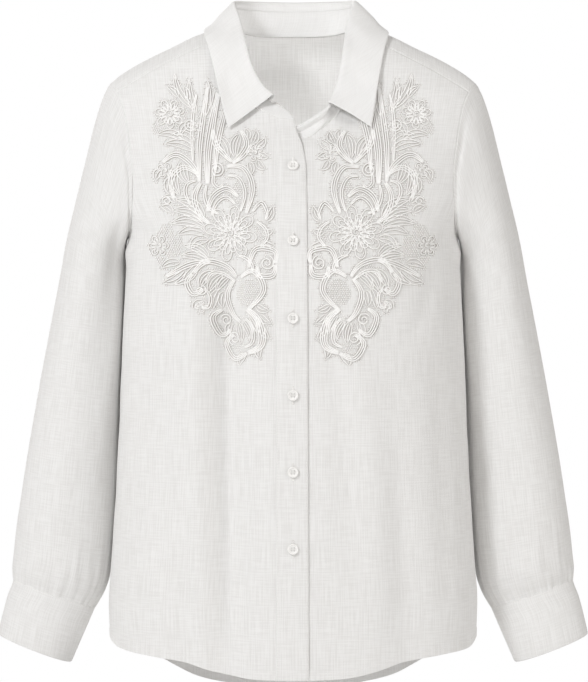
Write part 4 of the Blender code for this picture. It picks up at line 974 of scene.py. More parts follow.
def collar_half(right):
    """Neck, stand top, roll and leaf edge points of one side, from the back to the front."""
    line = neck_points(right)
    leaf_end = NECK_YOKE_COLUMNS + NECK_LEAF_COLUMNS
    shares = leaf_shares(line[: leaf_end + 1])
    table = COLLAR_RIGHT if right else COLLAR_LEFT
    roll = np.stack([table.read(name, shares) for name in ("roll_x", "roll_y", "roll_z")], axis=-1)
    edge = np.stack([table.read(name, shares) for name in ("edge_x", "edge_y", "edge_z")], axis=-1)
    height_share = STAND_HEIGHT.read("of_roll", shares)[:, None]
    top = line[: leaf_end + 1] * (1 - height_share) + roll * height_share
    end = STAND_END_RIGHT if right else STAND_END_LEFT
    end_shares = np.array(NECK_END_SHARES)
    past = np.stack([end.read(name, end_shares) for name in ("top_x", "top_y", "top_z")], axis=-1)
    return line, np.concatenate([top, past]), roll, edge


def joined(right_half, left_half):
    """Stations from the right front round the back to the left front."""
    return np.concatenate([mirrored(right_half)[:0:-1], left_half])


def leaf_section(top, roll, edge, along):
    """The leaf's line across its width: up from the stand, over the roll and down to its edge."""
    up = (roll - top) / np.linalg.norm(roll - top)
    square_up = up - along * np.dot(up, along)
    square_up /= np.linalg.norm(square_up)
    out = np.cross(square_up, along)
    start = top + square_up * LEAF_START_GAP
    rise = max(np.dot(roll - start, up) - ROLL_RADIUS, LEAST_RISE)
    turn_start = start + up * rise
    middle = turn_start + out * ROLL_RADIUS
    line = [start, (start + turn_start) / 2]
    for degrees in ROLL_DEGREES:
        turn = math.radians(degrees)
        line.append(middle + ROLL_RADIUS * (square_up * math.sin(turn) - out * math.cos(turn)))
    away = edge - line[-1]
    belly = square_up * LEAF_BELLY + out * LEAF_BELLY
    for share in LEAF_SHARES:
        line.append(line[ROLL_END] + away * share + belly * math.sin(math.pi * share))
    return np.array(line)


def at_places(values, places, breaks=()):
    """Values on a smooth curve between stations, which may turn sharply at the breaks."""
    values = np.asarray(values, float)
    rise = np.diff(values, axis=0)
    start = np.concatenate([rise[:1], (rise[:-1] + rise[1:]) / 2])
    end = np.concatenate([(rise[:-1] + rise[1:]) / 2, rise[-1:]])
    sharp = set(breaks) | {0, len(values) - 1}
    for place in sharp:
        if place < len(rise):
            start[place] = 1.5 * rise[place] - 0.5 * end[place]
        if place > 0:
            end[place - 1] = 1.5 * rise[place - 1] - 0.5 * start[place - 1]
    places = np.asarray(places, float)
    cell = np.clip(places.astype(int), 0, len(rise) - 1)
    t = (places - cell).reshape((-1,) + (1,) * (values.ndim - 1))
    first = (1 + 2 * t) * (1 - t) ** 2 * values[cell] + t * (1 - t) ** 2 * start[cell]
    last = t * t * (3 - 2 * t) * values[cell + 1] - t * t * (1 - t) * end[cell]
    return first + last


def stations(count, length, step, tight_start=True, tight_end=True):
    """Places between stations: even ones, and closer ones beside a seam."""
    cell = length / (count - 1)
    splits = max(1, round(cell / step))
    even = np.linspace(0.0, count - 1, (count - 1) * splits + 1)
    close = np.array(SEAM_ROWS) / cell
    clear = close[-1] + 0.5 / splits
    keep = np.ones(len(even), bool)
    extra = []
    if tight_start:
        keep &= (even > clear) | (even == 0)
        extra.append(close)
    if tight_end:
        keep &= (even < count - 1 - clear) | (even == count - 1)
        extra.append(count - 1 - close)
    return np.unique(np.concatenate([even[keep], *extra]))


def finer(grid, length, width, step, row_breaks=(), column_breaks=(), tight=(1, 1, 1, 1)):
    """A finer grid on the smooth surface of a coarse one. Tight edges: first row, last row, first
    column, last column."""
    rows = stations(grid.shape[0], length, step, tight[0], tight[1])
    columns = stations(grid.shape[1], width, step, tight[2], tight[3])
    tall = at_places(grid, rows, row_breaks)
    wide = at_places(np.moveaxis(tall, 1, 0), columns, column_breaks)
    return np.moveaxis(wide, 0, 1)


def grid_normals(grid, closed=False):
    """Unit directions square to a grid of points, by its neighbours."""
    down = np.gradient(grid, axis=0)
    if closed:
        along = np.roll(grid, -1, axis=1) - np.roll(grid, 1, axis=1)
    else:
        along = np.gradient(grid, axis=1)
    return directions(np.cross(along, down))


def edge_distances(grid):
    """How far each point lies from the first and last row and the first and last column."""
    down = np.linalg.norm(np.diff(grid, axis=0), axis=-1)
    along = np.linalg.norm(np.diff(grid, axis=1), axis=-1)
    from_first = np.concatenate([np.zeros((1, grid.shape[1])), np.cumsum(down, axis=0)])
    from_left = np.concatenate([np.zeros((grid.shape[0], 1)), np.cumsum(along, axis=1)], axis=1)
    return from_first, from_first[-1:] - from_first, from_left, from_left[:, -1:] - from_left


def seam_dips(distances, edges):
    """How far the cloth sinks beside the seams at the named edges, by their places in distances."""
    total = 0.0
    for edge in edges:
        total = total - SEAM_DIP * np.exp(-((distances[edge] / SEAM_DIP_REACH) ** 2))
    return total


def wall(name, outer, inner, uv, finish, closed=False):
    """A closed shell between two like grids of points, in millimetres, with its cloth's coordinates."""
    rows, columns = outer.shape[:2]
    index = np.arange(rows * columns).reshape(rows, columns)
    wide = columns if closed else columns - 1
    here = np.arange(wide)
    after = (here + 1) % columns
    a = index[:-1][:, here]
    b = index[:-1][:, after]
    c = index[1:][:, after]
    d = index[1:][:, here]
    quads = np.stack([a, b, c, d], axis=-1).reshape(-1, 4)
    uv_after = uv[:, after].copy()
    if closed:
        uv_after[:, -1, 0] = 2 * uv[:, -1, 0] - uv[:, -2, 0]
    uv_here = uv[:, here]
    corners = np.stack([uv_here[:-1], uv_after[:-1], uv_after[1:], uv_here[1:]], axis=2).reshape(-1, 4, 2)
    count = rows * columns
    faces = [quads, quads[:, ::-1] + count]
    places = [corners, corners[:, ::-1]]

    def rim(line, line_uv):
        first = line[:-1]
        second = line[1:]
        faces.append(np.stack([second, first, first + count, second + count], axis=-1))
        places.append(np.stack([line_uv[1:], line_uv[:-1], line_uv[:-1], line_uv[1:]], axis=1))

    bottom = index[0] if not closed else np.append(index[0], index[0, 0])
    top = index[-1] if not closed else np.append(index[-1], index[-1, 0])
    bottom_uv = uv[0] if not closed else np.concatenate([uv[0], uv_after[0, -1:]])
    top_uv = uv[-1] if not closed else np.concatenate([uv[-1], uv_after[-1, -1:]])
    rim(bottom, bottom_uv)
    rim(top[::-1], top_uv[::-1])
    if not closed:
        rim(index[::-1, 0], uv[::-1, 0])
        rim(index[:, -1], uv[:, -1])
    return add_mesh(name, np.concatenate([outer.reshape(-1, 3), inner.reshape(-1, 3)]), faces, places, finish)


def volume_of(corners):
    """Six times the space inside closed quads, below 0 where they look inwards."""
    first = np.sum(np.cross(corners[:, 0], corners[:, 1]) * corners[:, 2])
    return first + np.sum(np.cross(corners[:, 0], corners[:, 2]) * corners[:, 3])


def add_mesh(name, points, faces, places, finish, solid=False):
    """A mesh of quads, in millimetres, whose faces look outwards, with its cloth's coordinates."""
    faces = np.concatenate(faces)
    places = np.concatenate(places)
    if not solid and volume_of(points[faces] - points.mean(axis=0)) < 0:
        faces = faces[:, ::-1]
        places = places[:, ::-1]
    mesh = bpy.data.meshes.new(name)
    mesh.vertices.add(len(points))
    mesh.vertices.foreach_set("co", (points * METRES).astype(np.float32).ravel())
    mesh.loops.add(faces.size)
    mesh.loops.foreach_set("vertex_index", np.ascontiguousarray(faces, np.int32).ravel())
    mesh.polygons.add(len(faces))
    mesh.polygons.foreach_set("loop_start", np.arange(0, faces.size, 4, dtype=np.int32))
    mesh.update(calc_edges=True)
    layer = mesh.uv_layers.new(name="cloth")
    layer.data.foreach_set("uv", np.ascontiguousarray(places * METRES, np.float32).ravel())
    mesh.shade_smooth()
    mesh.set_sharp_from_angle(angle=math.radians(SHARP_DEGREES))
    mesh.materials.append(finish)
    made = bpy.data.objects.new(name, mesh)
    bpy.context.scene.collection.objects.link(made)
    return made


def placed(piece, node):
    """The piece rides on the shirt and stands for its solid."""
    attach(piece, "root")
    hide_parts(node)
    return piece


def cloth_piece(name, outer, inner, uv, finish, closed=False):
    """A wall of cloth that stands for its solid, with its two faces."""
    return placed(wall(name + "_cloth", outer, inner, uv, finish, closed), name), outer, inner


def on_shirt(piece):
    """Sewn thread rides on the shirt and stands for no solid."""
    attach(piece, "root")


def for_side(right, outer, inner):
    """A piece's two faces, mirrored where it is on the wearer's right."""
    return (mirrored(outer), mirrored(inner)) if right else (outer, inner)


def stitched_edge(distances, relief):
    """How an edge is rounded down and grooved by its stitches, by the distances from its sides."""
    edge = np.minimum.reduce(distances)
    drop, reach, groove, place, width = relief
    return -drop * np.exp(-((edge / reach) ** 2)) - groove * np.exp(-(((edge - place) / width) ** 2))


def undulation(points, size, height, seed):
    """Small uneven waves of the cloth, as it never lies quite flat."""
    shift = Vector([seed * step for step in WAVE_SHIFT])
    values = [noise.noise(Vector(point) + shift) for point in points.reshape(-1, 3) / size]
    return height * np.array(values).reshape(points.shape[:-1])


def creases(side, x, z):
    """How far the cloth stands out for the creases of the front (-1) or the back (1)."""
    total = 0.0
    for facing, x0, z0, x1, z1, stands, width, bow in CREASES.rows():
        if facing != side:
            continue
        way = np.array([x1 - x0, z1 - z0])
        length = np.hypot(*way)
        along = ((x - x0) * way[0] + (z - z0) * way[1]) / length**2
        off = ((z - z0) * way[0] - (x - x0) * way[1]) / length
        off = off - bow * np.sin(math.pi * np.clip(along, 0.0, 1.0))
        past = np.maximum(np.maximum(-along, along - 1.0), 0.0) * length
        fade = np.sqrt(np.sin(math.pi * np.clip(along, CREASE_END, 1.0 - CREASE_END)))
        total = total + stands * fade * np.exp(-((off / width) ** 2) - (past / width) ** 2)
    return total


def dressed(points, normals, stands, thickness):
    """The outer and inner points of a panel that stands out of its form."""
    outer = points + normals * np.asarray(stands)[..., None]
    facing = grid_normals(outer)
    if np.sum(facing * normals) < 0:
        facing = -facing
    return outer, outer - facing * thickness


def neck_gap(x, z):
    """How far below the hollow stretch of the left front's neckline a place is."""
    (x0, z0), (x1, z1) = NECK_HOLLOW
    along = np.clip((x - x0) / (x1 - x0), 0.0, 1.0)
    below = z0 + (z1 - z0) * along - z
    past = np.maximum(np.maximum(x0 - x, x - x1), 0.0)
    return np.hypot(np.maximum(below, 0.0), past)


def side_fullness(share, z):
    """The body's side is fuller under the arm, where it rests against the sleeve."""
    at_side = ease((np.abs(share) - SIDE_FULL_SHARE) / SIDE_FULL_EASE)
    return SIDE_FULL * at_side * np.exp(-(((z - SIDE_FULL_HEIGHT) / SIDE_FULL_REACH) ** 2))


def under_band(x, z):
    """How far the left front lies back beside the band's free edge, most near the neck."""
    edge = BAND_EDGE.read("out", z)
    near = ease((edge + UNDER_BAND_WIDTH - x) / (2 * UNDER_BAND_WIDTH))
    return -near * (UNDER_BAND_DEPTH + UNDER_NECK_DEPTH * ease((z + UNDER_NECK_REACH) / UNDER_NECK_EASE))


def front_cloth(arc, height, hand):
    """Points, directions and relief of a front's cloth, apart from its seams and hem."""
    points = panel_points(arc, height, -1)
    stands = body_folds(hand * arc, height) + creases(-1, hand * points[..., 0], points[..., 2])
    stands = stands + side_fullness(arc, height)
    if hand > 0:
        stands = stands + under_band(points[..., 0], points[..., 2])
        hollow = ease((NECK_HOLLOW_WIDTH - neck_gap(points[..., 0], points[..., 2])) / NECK_HOLLOW_WIDTH)
        stands = stands - HOLLOW_DEPTH * hollow
    stands = stands + undulation(points, CLOTH_WAVE, CLOTH_WAVE_HEIGHT, 1.0 + hand)
    return points, body_normals(points), stands


def make_front(right, finish):
    """A front: the wearer's right one lies at the viewer's left."""
    coarse = front_grid(right)
    leaf_corner = len(neck_shares(True, right)) - 1
    grid = finer(coarse, PANEL_LENGTH, PANEL_WIDTH, STEP, (SIDE_ROWS,), (leaf_corner,))
    hand = -1.0 if right else 1.0
    points, normals, stands = front_cloth(grid[..., 0], grid[..., 1], hand)
    distances = edge_distances(points)
    at_neck = 1 - ease((np.abs(grid[..., 0]) - NECK_DIP_ARC) / NECK_DIP_EASE)
    stands = stands + seam_dips(distances, (1, 3)) * (1 - NECK_DIP_LOST * at_neck)
    stands = stands + hem_ridge(distances[0])
    outer, inner = dressed(points, normals, stands, CLOTH)
    uv = np.stack([grid[..., 0] * QUARTER_ROUND, grid[..., 1]], axis=-1)
    outer, inner = for_side(right, outer, inner)
    return cloth_piece(f"front_{SIDES[right]}", outer, inner, uv, finish)


def hem_ridge(distance):
    """The narrow turned hem, a little thicker than the cloth and stitched along its top."""
    turned = HEM_RISE * (1 - ease((distance - HEM_WIDTH) / HEM_EASE))
    groove = HEM_GROOVE * np.exp(-(((distance - HEM_WIDTH + HEM_STITCH_IN) / HEM_GROOVE_WIDTH) ** 2))
    return turned - groove


def make_back(finish):
    grid = finer(back_grid(), PANEL_LENGTH, PANEL_WIDTH, WIDE_STEP, (SIDE_ROWS,), (), (1, 1, 0, 1))
    points = panel_points(grid[..., 0], grid[..., 1], 1)
    normals = body_normals(points)
    distances = edge_distances(points)
    halves = []
    for hand in (1.0, -1.0):
        stands = body_folds(hand * (2.0 - grid[..., 0]), grid[..., 1])
        stands = stands + creases(1, hand * points[..., 0], points[..., 2])
        stands = stands + side_fullness(grid[..., 0], grid[..., 1])
        stands = stands + seam_dips(distances, (1, 3)) + hem_ridge(distances[0])
        halves.append(dressed(points, normals, stands, CLOTH))
    outer = np.concatenate([mirrored(halves[1][0][:, :0:-1]), halves[0][0]], axis=1)
    inner = np.concatenate([mirrored(halves[1][1][:, :0:-1]), halves[0][1]], axis=1)
    arcs = np.concatenate([-grid[:, :0:-1, 0], grid[..., 0]], axis=1)
    heights = np.concatenate([grid[:, :0:-1, 1], grid[..., 1]], axis=1)
    uv = np.stack([arcs * QUARTER_ROUND, heights], axis=-1)
    return cloth_piece("back", outer, inner, uv, finish)


def make_yoke(finish):
    grid = finer(yoke_grid(), YOKE_LENGTH, YOKE_WIDTH, WIDE_STEP, (), (NECK_YOKE_COLUMNS,), (1, 1, 0, 1))
    points = yoke_points(grid[..., 0], grid[..., 1])
    normals = body_normals(points)
    distances = edge_distances(points)
    outer, inner = dressed(points, normals, seam_dips(distances, (0, 1, 3)), 2 * CLOTH)
    outer = np.concatenate([mirrored(outer[:, :0:-1]), outer], axis=1)
    inner = np.concatenate([mirrored(inner[:, :0:-1]), inner], axis=1)
    uv = np.concatenate([grid[:, :0:-1] * np.array([-1.0, 1.0]), grid], axis=1)
    return cloth_piece("yoke", outer, inner, uv, finish)


def sleeve_ring(along, around):
    """One ring of a sleeve's cloth, by places from 0 to 1 round it, on its own oval form."""
    front, yoke, back = armhole_turns()
    own = np.concatenate([front, yoke[1:], back[1:]])
    own = np.interp(around * (len(own) - 1), np.arange(len(own)), own)
    turns = own + (180.0 - 360.0 * around - own) * ease(along / ARMHOLE_FADE)
    row = sleeve_row(along, turns)
    at_armhole = armhole_points((turns + 180.0) % 360.0 - 180.0) - sleeve_row(0.0, turns)
    row = row + at_armhole * (1 - ease(along / ARMHOLE_FADE))[..., None]
    middle = sleeve_row(along, np.array([0.0, 180.0])).mean(axis=0)
    stands = sleeve_folds(along, turns) * ease(along / FOLD_FADE) + gathers(along, around)
    facing = np.clip(-directions(row - middle)[..., 1], 0.0, 1.0)
    trough = np.exp(-(((along - ARMHOLE_TROUGH_AT) / ARMHOLE_TROUGH_WIDTH) ** 2))
    stands = stands - facing * ARMHOLE_TROUGH * trough
    row = row + directions(row - middle) * np.asarray(stands)[..., None]
    below = ease((UNDERARM_HEIGHT - row[..., 2:]) / UNDERARM_EASE)
    return row + (lift_clear(row, REST_GAP, False) - row) * below


def gathers(along, around):
    """The uneven little folds where the sleeve is drawn into its cuff."""
    total = 0.0
    draw = np.random.default_rng(GATHER_SEED)
    for index in range(GATHER_COUNT):
        place = (index + draw.uniform(-GATHER_SHIFT, GATHER_SHIFT)) / GATHER_COUNT
        length = draw.uniform(*GATHER_LENGTHS)
        height = draw.uniform(*GATHER_HEIGHTS)
        width = draw.uniform(*GATHER_WIDTHS)
        away = (around - place + 0.5) % 1.0 - 0.5
        reach = ease((along - CUFF_SEAM + length) / (GATHER_GROWTH * length))
        total = total + height * reach * np.exp(-((away / width) ** 2))
    return total


def fuller_sleeve(grid, rows):
    """The upper sleeve is flatter in front and fills the corner beside the body."""
    toward = directions(grid - grid.mean(axis=1, keepdims=True))
    corner = np.clip(-toward[..., 0], 0.0, 1.0) ** CORNER_POWER
    corner = corner * np.clip(-toward[..., 1], 0.0, 1.0) / CORNER_PEAK
    shown = ease(rows / SLEEVE_FULL_START) * (1 - ease((rows - SLEEVE_FULL_REACH) / SLEEVE_FULL_FADE))
    full = grid.copy()
    full[..., 1] -= SLEEVE_FULL * corner * shown[:, None]
    return full


def make_sleeve(right, finish):
    even = np.arange(SLEEVE_FIRST_ROW, GATHER_BEGINS, WIDE_STEP)
    close = np.arange(GATHER_BEGINS, CUFF_SEAM, STEP)
    rows = np.array([0.0, *SEAM_ROWS, *even, *close, CUFF_SEAM, CUFF_SEAM + SLEEVE_TUCK])
    around = np.arange(SLEEVE_AROUND) / SLEEVE_AROUND
    grid = fuller_sleeve(np.stack([sleeve_ring(float(along), around) for along in rows]), rows)
    normals = grid_normals(grid, closed=True)
    middles = grid.mean(axis=1, keepdims=True)
    if np.sum(normals * (grid - middles)) < 0:
        normals = -normals
    dip = -SEAM_DIP * np.exp(-((rows / SEAM_DIP_REACH) ** 2))
    tuck = -TUCK_DEPTH * ease((rows - CUFF_SEAM + TUCK_EASE) / (TUCK_EASE + SLEEVE_TUCK))
    outer = grid + normals * (dip + tuck)[:, None, None]
    inner = outer - normals * CLOTH
    uv = np.stack(np.broadcast_arrays(around[None] * SLEEVE_ROUND, rows[:, None]), axis=-1)
    outer, inner = for_side(right, outer, inner)
    return cloth_piece(f"sleeve_{SIDES[right]}", outer, inner, uv, finish, closed=True)


def make_cuff(right, finish):
    """A band that laps over its own start on the side away from the viewer."""
    step = CUFF_STEP_DEGREES
    count = int((360.0 + CUFF_LAP_DEGREES) / step) + 1
    turns = CUFF_LAP_START - CUFF_LAP_DEGREES / 2 + np.arange(count) * step
    even = np.arange(CUFF_SEAM, CUFF_END, STEP)
    places = np.unique(np.concatenate([even, CUFF_END - np.array(CUFF_EDGE_ROWS)]))
    rows = []
    for along in places:
        row = sleeve_row(float(along), turns)
        inward = directions(row[: int(360 / step)].mean(axis=0) - row)
        under = 1 - ease((np.arange(count) * step - CUFF_UNDER_DEGREES) / CUFF_STEP_OVER)
        rows.append(row + inward * (under * (BAND + CUFF_LAP_GAP))[:, None])
    grid = np.stack(rows)
    normals = grid_normals(grid)
    middle = grid.reshape(-1, 3).mean(axis=0)
    half = count // 2
    if np.sum((grid[1, half] - middle) * normals[1, half]) < 0:
        normals = -normals
    distances = edge_distances(grid)
    rounded = stitched_edge(distances, CUFF_EDGE)
    outer = grid + normals * (CUFF_RISE + rounded)[..., None]
    inner = grid - normals * BAND
    uv = np.stack([distances[2], distances[0]], axis=-1)
    outer, inner = for_side(right, outer, inner)
    return cloth_piece(f"cuff_{SIDES[right]}", outer, inner, uv, finish)


def stand_surface(line, top):
    """The stand's outer face from the neckline up to its top."""
    along = directions(np.gradient(line, axis=0))
    up = top - line
    up -= along * np.sum(up * along, axis=1, keepdims=True)
    base = line + directions(up) * STAND_GAP
    shares = np.linspace(0.0, 1.0, 3)[:, None, None]
    return base[None] * (1 - shares) + top[None] * shares


def make_stand(finish):
    right_line, right_top, _, _ = collar_half(True)
    left_line, left_top, _, _ = collar_half(False)
    coarse = stand_surface(joined(right_line, left_line), joined(right_top, left_top))
    grid = finer(coarse, STAND_WIDTH, COLLAR_LENGTH, STAND_STEP)
    from_start = edge_distances(grid)[2]
    left = 1 - np.clip(from_start / STAND_END_ROUND, 0.0, 1.0)
    height = STAND_END_LOW + (1 - STAND_END_LOW) * np.sqrt(1 - left * left)
    grid = grid[:1] + (grid - grid[:1]) * height[..., None]
    normals = grid_normals(grid)
    back = np.argmax(grid[0, :, 1])
    if normals[1, back, 1] < 0:
        normals = -normals
    distances = edge_distances(grid)
    relief = stitched_edge(distances[1:], STAND_EDGE)
    below = distances[1]
    rolled = ROLLED_RISE * (1 - ease((below - ROLLED_WIDTH) / ROLLED_EASE))
    hollow = -HOLLOW_DEPTH * ease((below - ROLLED_WIDTH) / ROLLED_EASE)
    moved = (rolled + hollow) * ease((ROLLED_LENGTH - distances[3]) / ROLLED_FADE)
    tucked = np.exp(-((distances[0] / STAND_FOOT) ** 2))
    moved = moved - STAND_TUCK * tucked
    grid = grid - directions(grid[1] - grid[0])[None] * (STAND_FOOT * tucked)[..., None]
    outer = grid + normals * (relief + moved)[..., None]
    inner = grid - normals * (BAND + relief - np.minimum(moved, 0.0))[..., None]
    uv = np.stack([distances[2], distances[0]], axis=-1)
    return cloth_piece("collar_stand", outer, inner, uv, finish)


def make_fall(finish):
    halves = []
    for right in (True, False):
        _, top, roll, edge = collar_half(right)
        along = directions(np.gradient(roll, axis=0))
        along[0] = (1.0, 0.0, 0.0)
        lines = [leaf_section(top[i], roll[i], edge[i], along[i]) for i in range(len(roll))]
        halves.append(np.stack(lines))
    coarse = np.moveaxis(np.concatenate([mirrored(halves[0])[:0:-1], halves[1]]), 0, 1)
    coarse[ROLL_END:] = lift_clear(coarse[ROLL_END:], FALL / 2 + LEAF_GAP, True)
    grid = finer(coarse, FALL_WIDTH, COLLAR_LENGTH, FALL_STEP)
    normals = grid_normals(grid)
    if normals[-1, grid.shape[1] // 2, 1] < 0:
        normals = -normals
    distances = edge_distances(grid)
    edge = np.minimum.reduce(distances[1:])
    half = FALL / 2 * (1 - FALL_EDGE_THINNER * np.exp(-((edge / FALL_EDGE_WIDTH) ** 2)))
    relief = -COLLAR_GROOVE * np.exp(-(((edge - COLLAR_STITCH) / FALL_EDGE_WIDTH) ** 2))
    outer = grid + normals * (half + relief)[..., None]
    inner = grid - normals * half[..., None]
    uv = np.stack([distances[2], distances[0]], axis=-1)
    return cloth_piece("collar_fall", outer, inner, uv, finish)


def make_band(finish):
    """The buttonhole band that lies on the right front's edge."""
    top = NECK_RIGHT.read("height", BAND_TOP_SHARE)
    heights = np.linspace(HEM_FRONT.read("height", 0.0), top, BAND_ROWS)
    across = np.array(BAND_COLUMNS) / BAND_WIDTH
    outs = BAND_INNER_EDGE * (1 - across)[None] + BAND_EDGE.read("out", heights)[:, None] * across[None]
    levels = np.repeat(heights[:, None], len(across), axis=1)
    ends = np.array(NECK_END_SHARES[::-1])
    neckline = np.interp(outs[-1], NECK_RIGHT.read("out", ends), NECK_RIGHT.read("height", ends))
    levels += (neckline - top)[None] * ease((levels - top + BAND_TOP_EASE) / BAND_TOP_EASE)
    points = panel_points(arc_share(outs, levels, -1), levels, -1)
    normals = body_normals(points)
    distances = edge_distances(points)
    rise = BAND_RISE + stitched_edge(distances[2:], BAND_EDGE_RELIEF)
    rise = rise - BAND_FEATHER * (1 - ease(distances[2] / BAND_FEATHER_WIDTH))
    rise = rise + undulation(points, BAND_WAVE, BAND_WAVE_HEIGHT, BAND_WAVE_SEED)
    under = BAND_UNDER - BAND_CLOSED * np.exp(-((distances[2] / BAND_CLOSED_WIDTH) ** 2))
    outer = mirrored(points + normals * rise[..., None])
    inner = mirrored(points + normals * under[..., None])
    uv = np.stack([distances[2], levels], axis=-1)
    return cloth_piece("front_band", outer, inner, uv, finish)


def node_colour(nodes, light, dark, factor):
    """A mix of two colours by a factor's output."""
    mix = nodes.new("ShaderNodeMix")
    mix.data_type = "RGBA"
    mix.inputs["A"].default_value = (*light, 1.0)
    mix.inputs["B"].default_value = (*dark, 1.0)
    nodes.id_data.links.new(factor, mix.inputs["Factor"])
    return mix.outputs["Result"]


def math_node(nodes, operation, first, second=None):
    made = nodes.new("ShaderNodeMath")
    made.operation = operation
    for place, value in ((0, first), (1, second)):
        if value is None:
            continue
        if isinstance(value, (int, float)):
            made.inputs[place].default_value = value
        else:
            nodes.id_data.links.new(value, made.inputs[place])
    return made.outputs[0]


def new_finish(name, surface):
    """A new material with its shader's constants set, its shader, its nodes and its links."""
    made = bpy.data.materials.new(name)
    made.use_nodes = True
    shader = made.node_tree.nodes["Principled BSDF"]
    for socket, value in surface.items():
        shader.inputs[socket].default_value = value
    return made, shader, made.node_tree.nodes, made.node_tree.links


def cloth_coordinates(nodes, links):
    """The cloth's own coordinates, whole and split."""
    place = nodes.new("ShaderNodeUVMap")
    place.uv_map = "cloth"
    split = nodes.new("ShaderNodeSeparateXYZ")
    links.new(place.outputs["UV"], split.inputs["Vector"])
    return place.outputs["UV"], split.outputs


def ranged(nodes, links, value, before, after):
    """A value moved from one range into another."""
    made = nodes.new("ShaderNodeMapRange")
    for socket, limit in zip(("From Min", "From Max", "To Min", "To Max"), (*before, *after)):
        made.inputs[socket].default_value = limit
    links.new(value, made.inputs["Value"])
    return made.outputs["Result"]


def bumped(nodes, links, shader, height, depth):
    """Relief on a shader, its depth in millimetres."""
    bump = nodes.new("ShaderNodeBump")
    bump.inputs["Strength"].default_value = BUMP_STRENGTH
    bump.inputs["Distance"].default_value = depth * METRES
    links.new(height, bump.inputs["Height"])
    links.new(bump.outputs["Normal"], shader.inputs["Normal"])


def streaks(nodes, place, across, along):
    """Noise drawn out into slubs: how many to a metre across them and along them."""
    mapping = nodes.new("ShaderNodeMapping")
    mapping.inputs["Scale"].default_value = (across, along, 1.0)
    nodes.id_data.links.new(place, mapping.inputs["Vector"])
    texture = nodes.new("ShaderNodeTexNoise")
    texture.noise_dimensions = "2D"
    texture.inputs["Scale"].default_value = 1.0
    texture.inputs["Detail"].default_value = 1.0
    nodes.id_data.links.new(mapping.outputs["Vector"], texture.inputs["Vector"])
    return texture.outputs["Fac"]


def linen(name, light=LINEN_LIGHT, slub=1.0):
    """Matt linen: a plain weave with slubs both ways, in colour and in relief."""
    made, shader, nodes, links = new_finish(name, LINEN_SURFACE)
    uv, split = cloth_coordinates(nodes, links)
    warp, weft, patches = [streaks(nodes, uv, across, along) for across, along in LINEN_SLUBS]
    warp = math_node(nodes, "MULTIPLY", warp, LINEN_WARP_SHARE)
    weft = math_node(nodes, "MULTIPLY", weft, 1.0 - LINEN_WARP_SHARE)
    both = math_node(nodes, "ADD", warp, weft)
    limits = (0.0, LINEN_SLUB_COLOUR * slub)
    factor = ranged(nodes, links, both, (LINEN_SLUB_LOW, LINEN_SLUB_HIGH), limits)
    factor = math_node(nodes, "ADD", factor, math_node(nodes, "MULTIPLY", patches, LINEN_PATCH_COLOUR))
    links.new(node_colour(nodes, light, LINEN_DARK, factor), shader.inputs["Base Color"])
    threads = 2 * math.pi / (THREAD_PITCH * METRES)
    across = math_node(nodes, "SINE", math_node(nodes, "MULTIPLY", split["X"], threads))
    along = math_node(nodes, "SINE", math_node(nodes, "MULTIPLY", split["Y"], threads))
    weave = math_node(nodes, "MULTIPLY", math_node(nodes, "MULTIPLY", across, along), LINEN_WEAVE_HEIGHT)
    height = math_node(nodes, "ADD", weave, math_node(nodes, "MULTIPLY", both, LINEN_SLUB_HEIGHT))
    bumped(nodes, links, shader, height, LINEN_RELIEF)
    return made


def make_world():
    world = bpy.data.worlds.new("studio")
    bpy.context.scene.world = world
    world.use_nodes = True
    nodes = world.node_tree.nodes
    links = world.node_tree.links
    nodes.clear()
    output = nodes.new("ShaderNodeOutputWorld")
    seen = nodes.new("ShaderNodeBackground")
    seen.inputs["Color"].default_value = (*WHITE, 1.0)
    seen.inputs["Strength"].default_value = BACKDROP_LIGHT
    around = nodes.new("ShaderNodeBackground")
    around.inputs["Color"].default_value = (*AMBIENT_COLOUR, 1.0)
    place = nodes.new("ShaderNodeTexCoord")
    split = nodes.new("ShaderNodeSeparateXYZ")
    links.new(place.outputs["Generated"], split.inputs["Vector"])
    leaning = math_node(nodes, "MULTIPLY", split.outputs["X"], -AMBIENT_LEAN)
    links.new(math_node(nodes, "ADD", leaning, AMBIENT_LIGHT), around.inputs["Strength"])
    path = nodes.new("ShaderNodeLightPath")
    mix = nodes.new("ShaderNodeMixShader")
    links.new(path.outputs["Is Camera Ray"], mix.inputs["Fac"])
    links.new(around.outputs["Background"], mix.inputs[1])
    links.new(seen.outputs["Background"], mix.inputs[2])
    links.new(mix.outputs["Shader"], output.inputs["Surface"])


def add_light(name, place, target, size, power, colour):
    data = bpy.data.lights.new(name, "AREA")
    data.color = colour
    data.shape = "DISK"
    data.size = size
    data.energy = power
    light = bpy.data.objects.new(name, data)
    light.location = place
    way = Vector(target) - Vector(place)
    light.rotation_mode = "QUATERNION"
    light.rotation_quaternion = way.to_track_quat("-Z", "Y")
    bpy.context.scene.collection.objects.link(light)


def make_camera():
    data = bpy.data.cameras.new("camera")
    data.sensor_width = CAMERA_SENSOR
    data.lens = CAMERA_SENSOR * FOCAL_PIXELS / PHOTO_HEIGHT
    data.clip_end = CAMERA_REACH
    camera = bpy.data.objects.new("camera", data)
    camera.location = CAMERA_PLACE
    camera.rotation_euler = (math.radians(90), 0.0, 0.0)
    bpy.context.scene.collection.objects.link(camera)
    bpy.context.scene.camera = camera


